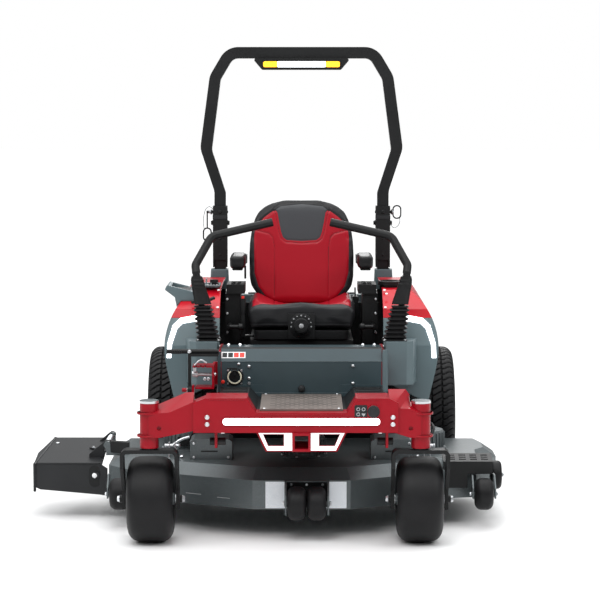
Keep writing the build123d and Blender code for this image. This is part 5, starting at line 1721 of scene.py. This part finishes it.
# ---- deck and rear ------------------------------------------------------------------------------
@dataclass
class Deck:
    """Guards, motor fins, lift links, chute fittings, roller plates and a painted reflection on the front facet."""

    machine: Machine
    spindles: tuple[tuple[float, float], ...] = ((-480, -680), (10, -880), (500, -680))

    def build(self) -> None:
        """Make the deck's fittings."""
        self._shell()
        self._motors()
        self._links()
        self._chute()
        self._rollers()

    def _shell(self) -> None:
        """Slots and bolts of the guards, skirt marks, and a pale glowing sheet on the front facet that paints the
        reflection of the lights.
        """
        form = Form(self.machine, "guard_fittings", Finishes.POWDER)
        for side in (LEFT, RIGHT):
            form.plate((side * 368, -985.6, 296), 34, 3, 3, 1)
            form.use(Finishes.ZINC)
            for x, z in ((292, 272), (430, 272), (430, 328)):
                form.bolt((side * x, -985, z), (0, -1, 0), 5)
            form.use(Finishes.POWDER)
        for x, y in ((-200, -1080), (-190, -1100), (215, -1080), (228, -1096), (-330, -1040)):
            form.dome((x, y, 251), (0, -0.3, 1), 7)
        form.done("deck", bevel_mm=0.3)
        # Painted reflection: a pale, faintly glowing sheet across the front facet stands for the softbox light that
        # the facet reflects.
        facet = Form(self.machine, "facet_painted_reflection", Finishes.PAINTED_REFLECTION)
        facet.block((-140, -1233.4, 112), (175, -1232, 218))
        facet.use(Finishes.DECK)
        facet.block((-142, -1234, 216.5), (177, -1231.5, 221.5))
        facet.done("deck", bevel_mm=0.2)
        marks = Form(self.machine, "skirt_marks", Finishes.SILVER)
        for x0, y0, x1, y1, z in ((-455, -1105, -395, -1138, 150), (-330, -1164.5, -280, -1189, 143)):
            marks.tube([(x0, y0, z), (x1, y1, z)], 1.1, 8)
        marks.done("deck", bevel_mm=0)

    def _motors(self) -> None:
        """Cooling fins, lids and cables of the blade motors."""
        form = Form(self.machine, "motor_fins", Finishes.CASE)
        for x, y in self.spindles:
            for a, b in circle(28, 1.0):
                inner, outer = Vector((x + a * 82, y + b * 82, 274)), Vector((x + a * 91, y + b * 91, 274))
                side = Vector((-b, a, 0)) * 1.6
                form.prism([inner - side, outer - side, outer + side, inner + side], (0, 0, 58))
            form.lathe((x, y, 338), (0, 0, 1), ((0, 84), (3, 83), (9, 62), (10, 20), (14, 18), (15, 3)),
                       48)
            form.use(Finishes.ZINC)
            for a, b in circle(6, 90, 0.2):
                form.bolt((x + a, y + b, 268), (0, 0, 1), 6)
            form.use(Finishes.CASE)
        form.use(Finishes.PLASTIC)
        for x, y in self.spindles:
            form.block((x - 26, y - 98, 286), (x + 26, y - 80, 322))
            form.tube([(x + 20, y - 94, 312), (x + 40, y - 60, 352), (x + 30, y + 40, 360),
                       (x + 10, y + 90, 330)], 7, 12, 6)
        form.done("deck", bevel_mm=0.6)

    def _links(self) -> None:
        """Zinc lift brackets and links at the deck's corners."""
        form = Form(self.machine, "lift_links", Finishes.ZINC)
        for x, y in ((-520, -900), (505, -900), (-520, -560), (505, -560)):
            inward = -1 if x > 0 else 1
            for off in (-14, 10):
                form.prism([(x + off, y - 28, 258), (x + off, y + 28, 258), (x + off, y + 12, 322),
                            (x + off, y - 12, 322)], (4, 0, 0))
            form.rod((x - 24, y, 306), (x + 26, y, 306), 7)
            form.bolt((x + 26, y, 306), (1, 0, 0), 9)
            form.bolt((x - 24, y, 306), (-1, 0, 0), 9)
            form.tube([(x, y, 306), (x + inward * 34, y - 4, 330), (x + inward * 70, y - 6, 342)], 6, 12, 5)
            form.dome((x + inward * 40, y - 36, 268), (0, -0.3, 1), 9)
        form.done("deck", bevel_mm=0.5)

    def _chute(self) -> None:
        """The chute's patch and bolt, rolled edge, hinge plate and return spring."""
        form = Form(self.machine, "chute_fittings", Finishes.POWDER)
        form.plate((-838, -850.8, 172), 24, 44, 22, 1.6)
        form.use(Finishes.WHITE)
        form.dome((-838, -851.5, 176), (0, -1, 0), 11)
        form.use(Finishes.CHARCOAL)
        form.tube([(-1082, -850, 110), (-1082, -852, 222), (-1058, -650, 249), (-1038, -474, 272)],
                  6, 12)
        form.tube([(-1076, -851, 226), (-815, -851, 226)], 3, 10)
        form.prism([(-818, -852, 97), (-786, -852, 92), (-786, -852, 205), (-818, -852, 226)], (0, 3, 0))
        form.prism([(-880, -640, 253), (-806, -700, 246), (-806, -560, 262)], (0, 0, 5))
        form.use(Finishes.ZINC)
        form.dome((-1020, -560, 263), (0, -0.1, 1), 8)
        form.bolt((-862, -640, 258), (0, 0, 1), 7)
        form.done("chute", bevel_mm=0.6)
        spring = Form(self.machine, "chute_spring", Finishes.ZINC)
        spring.spring((-792, -738, 292), (-792, -602, 292), 13, 2.0, 15)
        spring.use(Finishes.POWDER)
        spring.prism([(-778, -800, 262), (-700, -840, 262), (-700, -800, 262), (-778, -770, 262)],
                     (0, 0, 46))
        spring.done("deck", bevel_mm=0.4)

    def _rollers(self) -> None:
        """Mounting plates, axle nuts and the dark plate between the front rollers."""
        form = Form(self.machine, "roller_fittings", Finishes.POWDER)
        form.block((-66, -1236, 118), (108, -1233.6, 222))
        form.use(Finishes.ZINC)
        for x, face in ((-66, -1), (108, 1)):
            form.bolt((x, -1320, 147), (face, 0, 0), 9)
        for x in (-40, 20, 82):
            form.bolt((x, -1237, 205), (0, -1, 0), 5)
        for x, face in ((-774, -1), (-674, 1), (674, -1), (774, 1)):
            form.bolt((x, -1040, 134), (face, 0, 0), 8)
        form.bolt((819, -800, 171), (1, 0, 0), 8)
        form.dome((748, -978, 246), (0, -1, 0.3), 6)
        form.done("deck", bevel_mm=0.4)


@dataclass
class Rear:
    """Tail lamps, guard caps, hood louvres, battery lugs and cables."""

    machine: Machine

    def build(self) -> None:
        """Make the rear fittings."""
        lamps = Form(self.machine, "tail_lens", Finishes.RED_LENS)
        for side in (LEFT, RIGHT):
            lamps.loft([[(side * 270 + a, y, 472.5 + b) for a, b in rounded_rectangle(36, 18, 5, 4)]
                        for y in (507, 512)])
        lamps.use(Finishes.POWDER)
        for side in (LEFT, RIGHT):
            outer, inner = rounded_rectangle(40, 22, 8, 4), rounded_rectangle(36, 18, 5, 4)
            lamps.loft([[(side * 270 + a, y, 472.5 + b) for a, b in ring]
                        for ring, y in ((outer, 499), (outer, 511), (inner, 511), (inner, 499))],
                       loop=True)
        lamps.done("chassis", bevel_mm=0.8)
        guard = Form(self.machine, "guard_caps", Finishes.CRIMSON)
        guard.tube([(-420, 485, 684), (-420, 485, 704), (-404, 485, 716), (-340, 485, 716)], 14, 20, 5)
        guard.tube([(420, 485, 684), (420, 485, 704), (404, 485, 716), (340, 485, 716)], 14, 20, 5)
        guard.use(Finishes.ZINC)
        for side in (LEFT, RIGHT):
            for x in (110, 180):
                guard.bolt((side * x, 500, 475), (0, 1, 0), 9)
        guard.done("chassis", bevel_mm=0.5)
        hood = Form(self.machine, "hood_louvres", Finishes.CHARCOAL)
        for row in range(6):
            y = 190 + row * 34
            z = 826.6 - (y - 146) * 0.043 if y < 240 else 822 - (y - 240) * 0.122
            for x in (-150, 150):
                hood.prism([(x - 90, y, z - 1), (x + 90, y, z - 1), (x + 90, y + 16, z + 1),
                            (x - 90, y + 16, z + 1)], (0, 0, 6))
        hood.use(Finishes.PLASTIC)
        hood.loft([[(a, y, 748 + b) for a, b in rounded_rectangle(60, 9, 6, 4)] for y in (476, 486)])
        hood.done("hood", bevel_mm=1.0)
        battery = Form(self.machine, "battery_fittings", Finishes.CASE)
        for x in (-150, 0, 150):
            battery.plate((x, 440.8, 610), 44, 70, 8, 2)
            battery.rod((x - 30, 296, 724), (x - 30, 296, 731), 9)
            battery.rod((x + 30, 296, 724), (x + 30, 296, 731), 9)
        battery.use(Finishes.SIGNAL)
        battery.tube([(-180, 296, 730), (-160, 330, 742), (-60, 330, 742), (-30, 296, 730)], 6, 12, 6)
        battery.tube([(30, 296, 730), (60, 330, 742), (140, 330, 742), (120, 296, 730)], 6, 12, 6)
        battery.done("chassis", bevel_mm=0.8)


def build_mower(machine: Machine) -> None:
    """Make every group of pieces in order.

    Args:
        machine: Where the machine stands.
    """
    for group in (Wheels, Seat, Levers, FrontEnd, RollBar, Fenders, Deck, Rear):
        LOG.info("building %s", group.__name__)
        group(machine).build()


def main() -> None:
    """Load the frame, build everything and write the sizes."""
    logging.basicConfig(level=logging.INFO)
    machine = Machine(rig.load())
    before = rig.bounds()
    Studio().build(machine)
    machine.paint(CAD_PLAN)
    build_mower(machine)
    sizes = {"cad": [list(p) for p in before], "visual": [list(p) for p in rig.bounds()]}
    with open("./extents.json", "w") as report:
        json.dump(sizes, report)


if __name__ == "__main__":
    main()
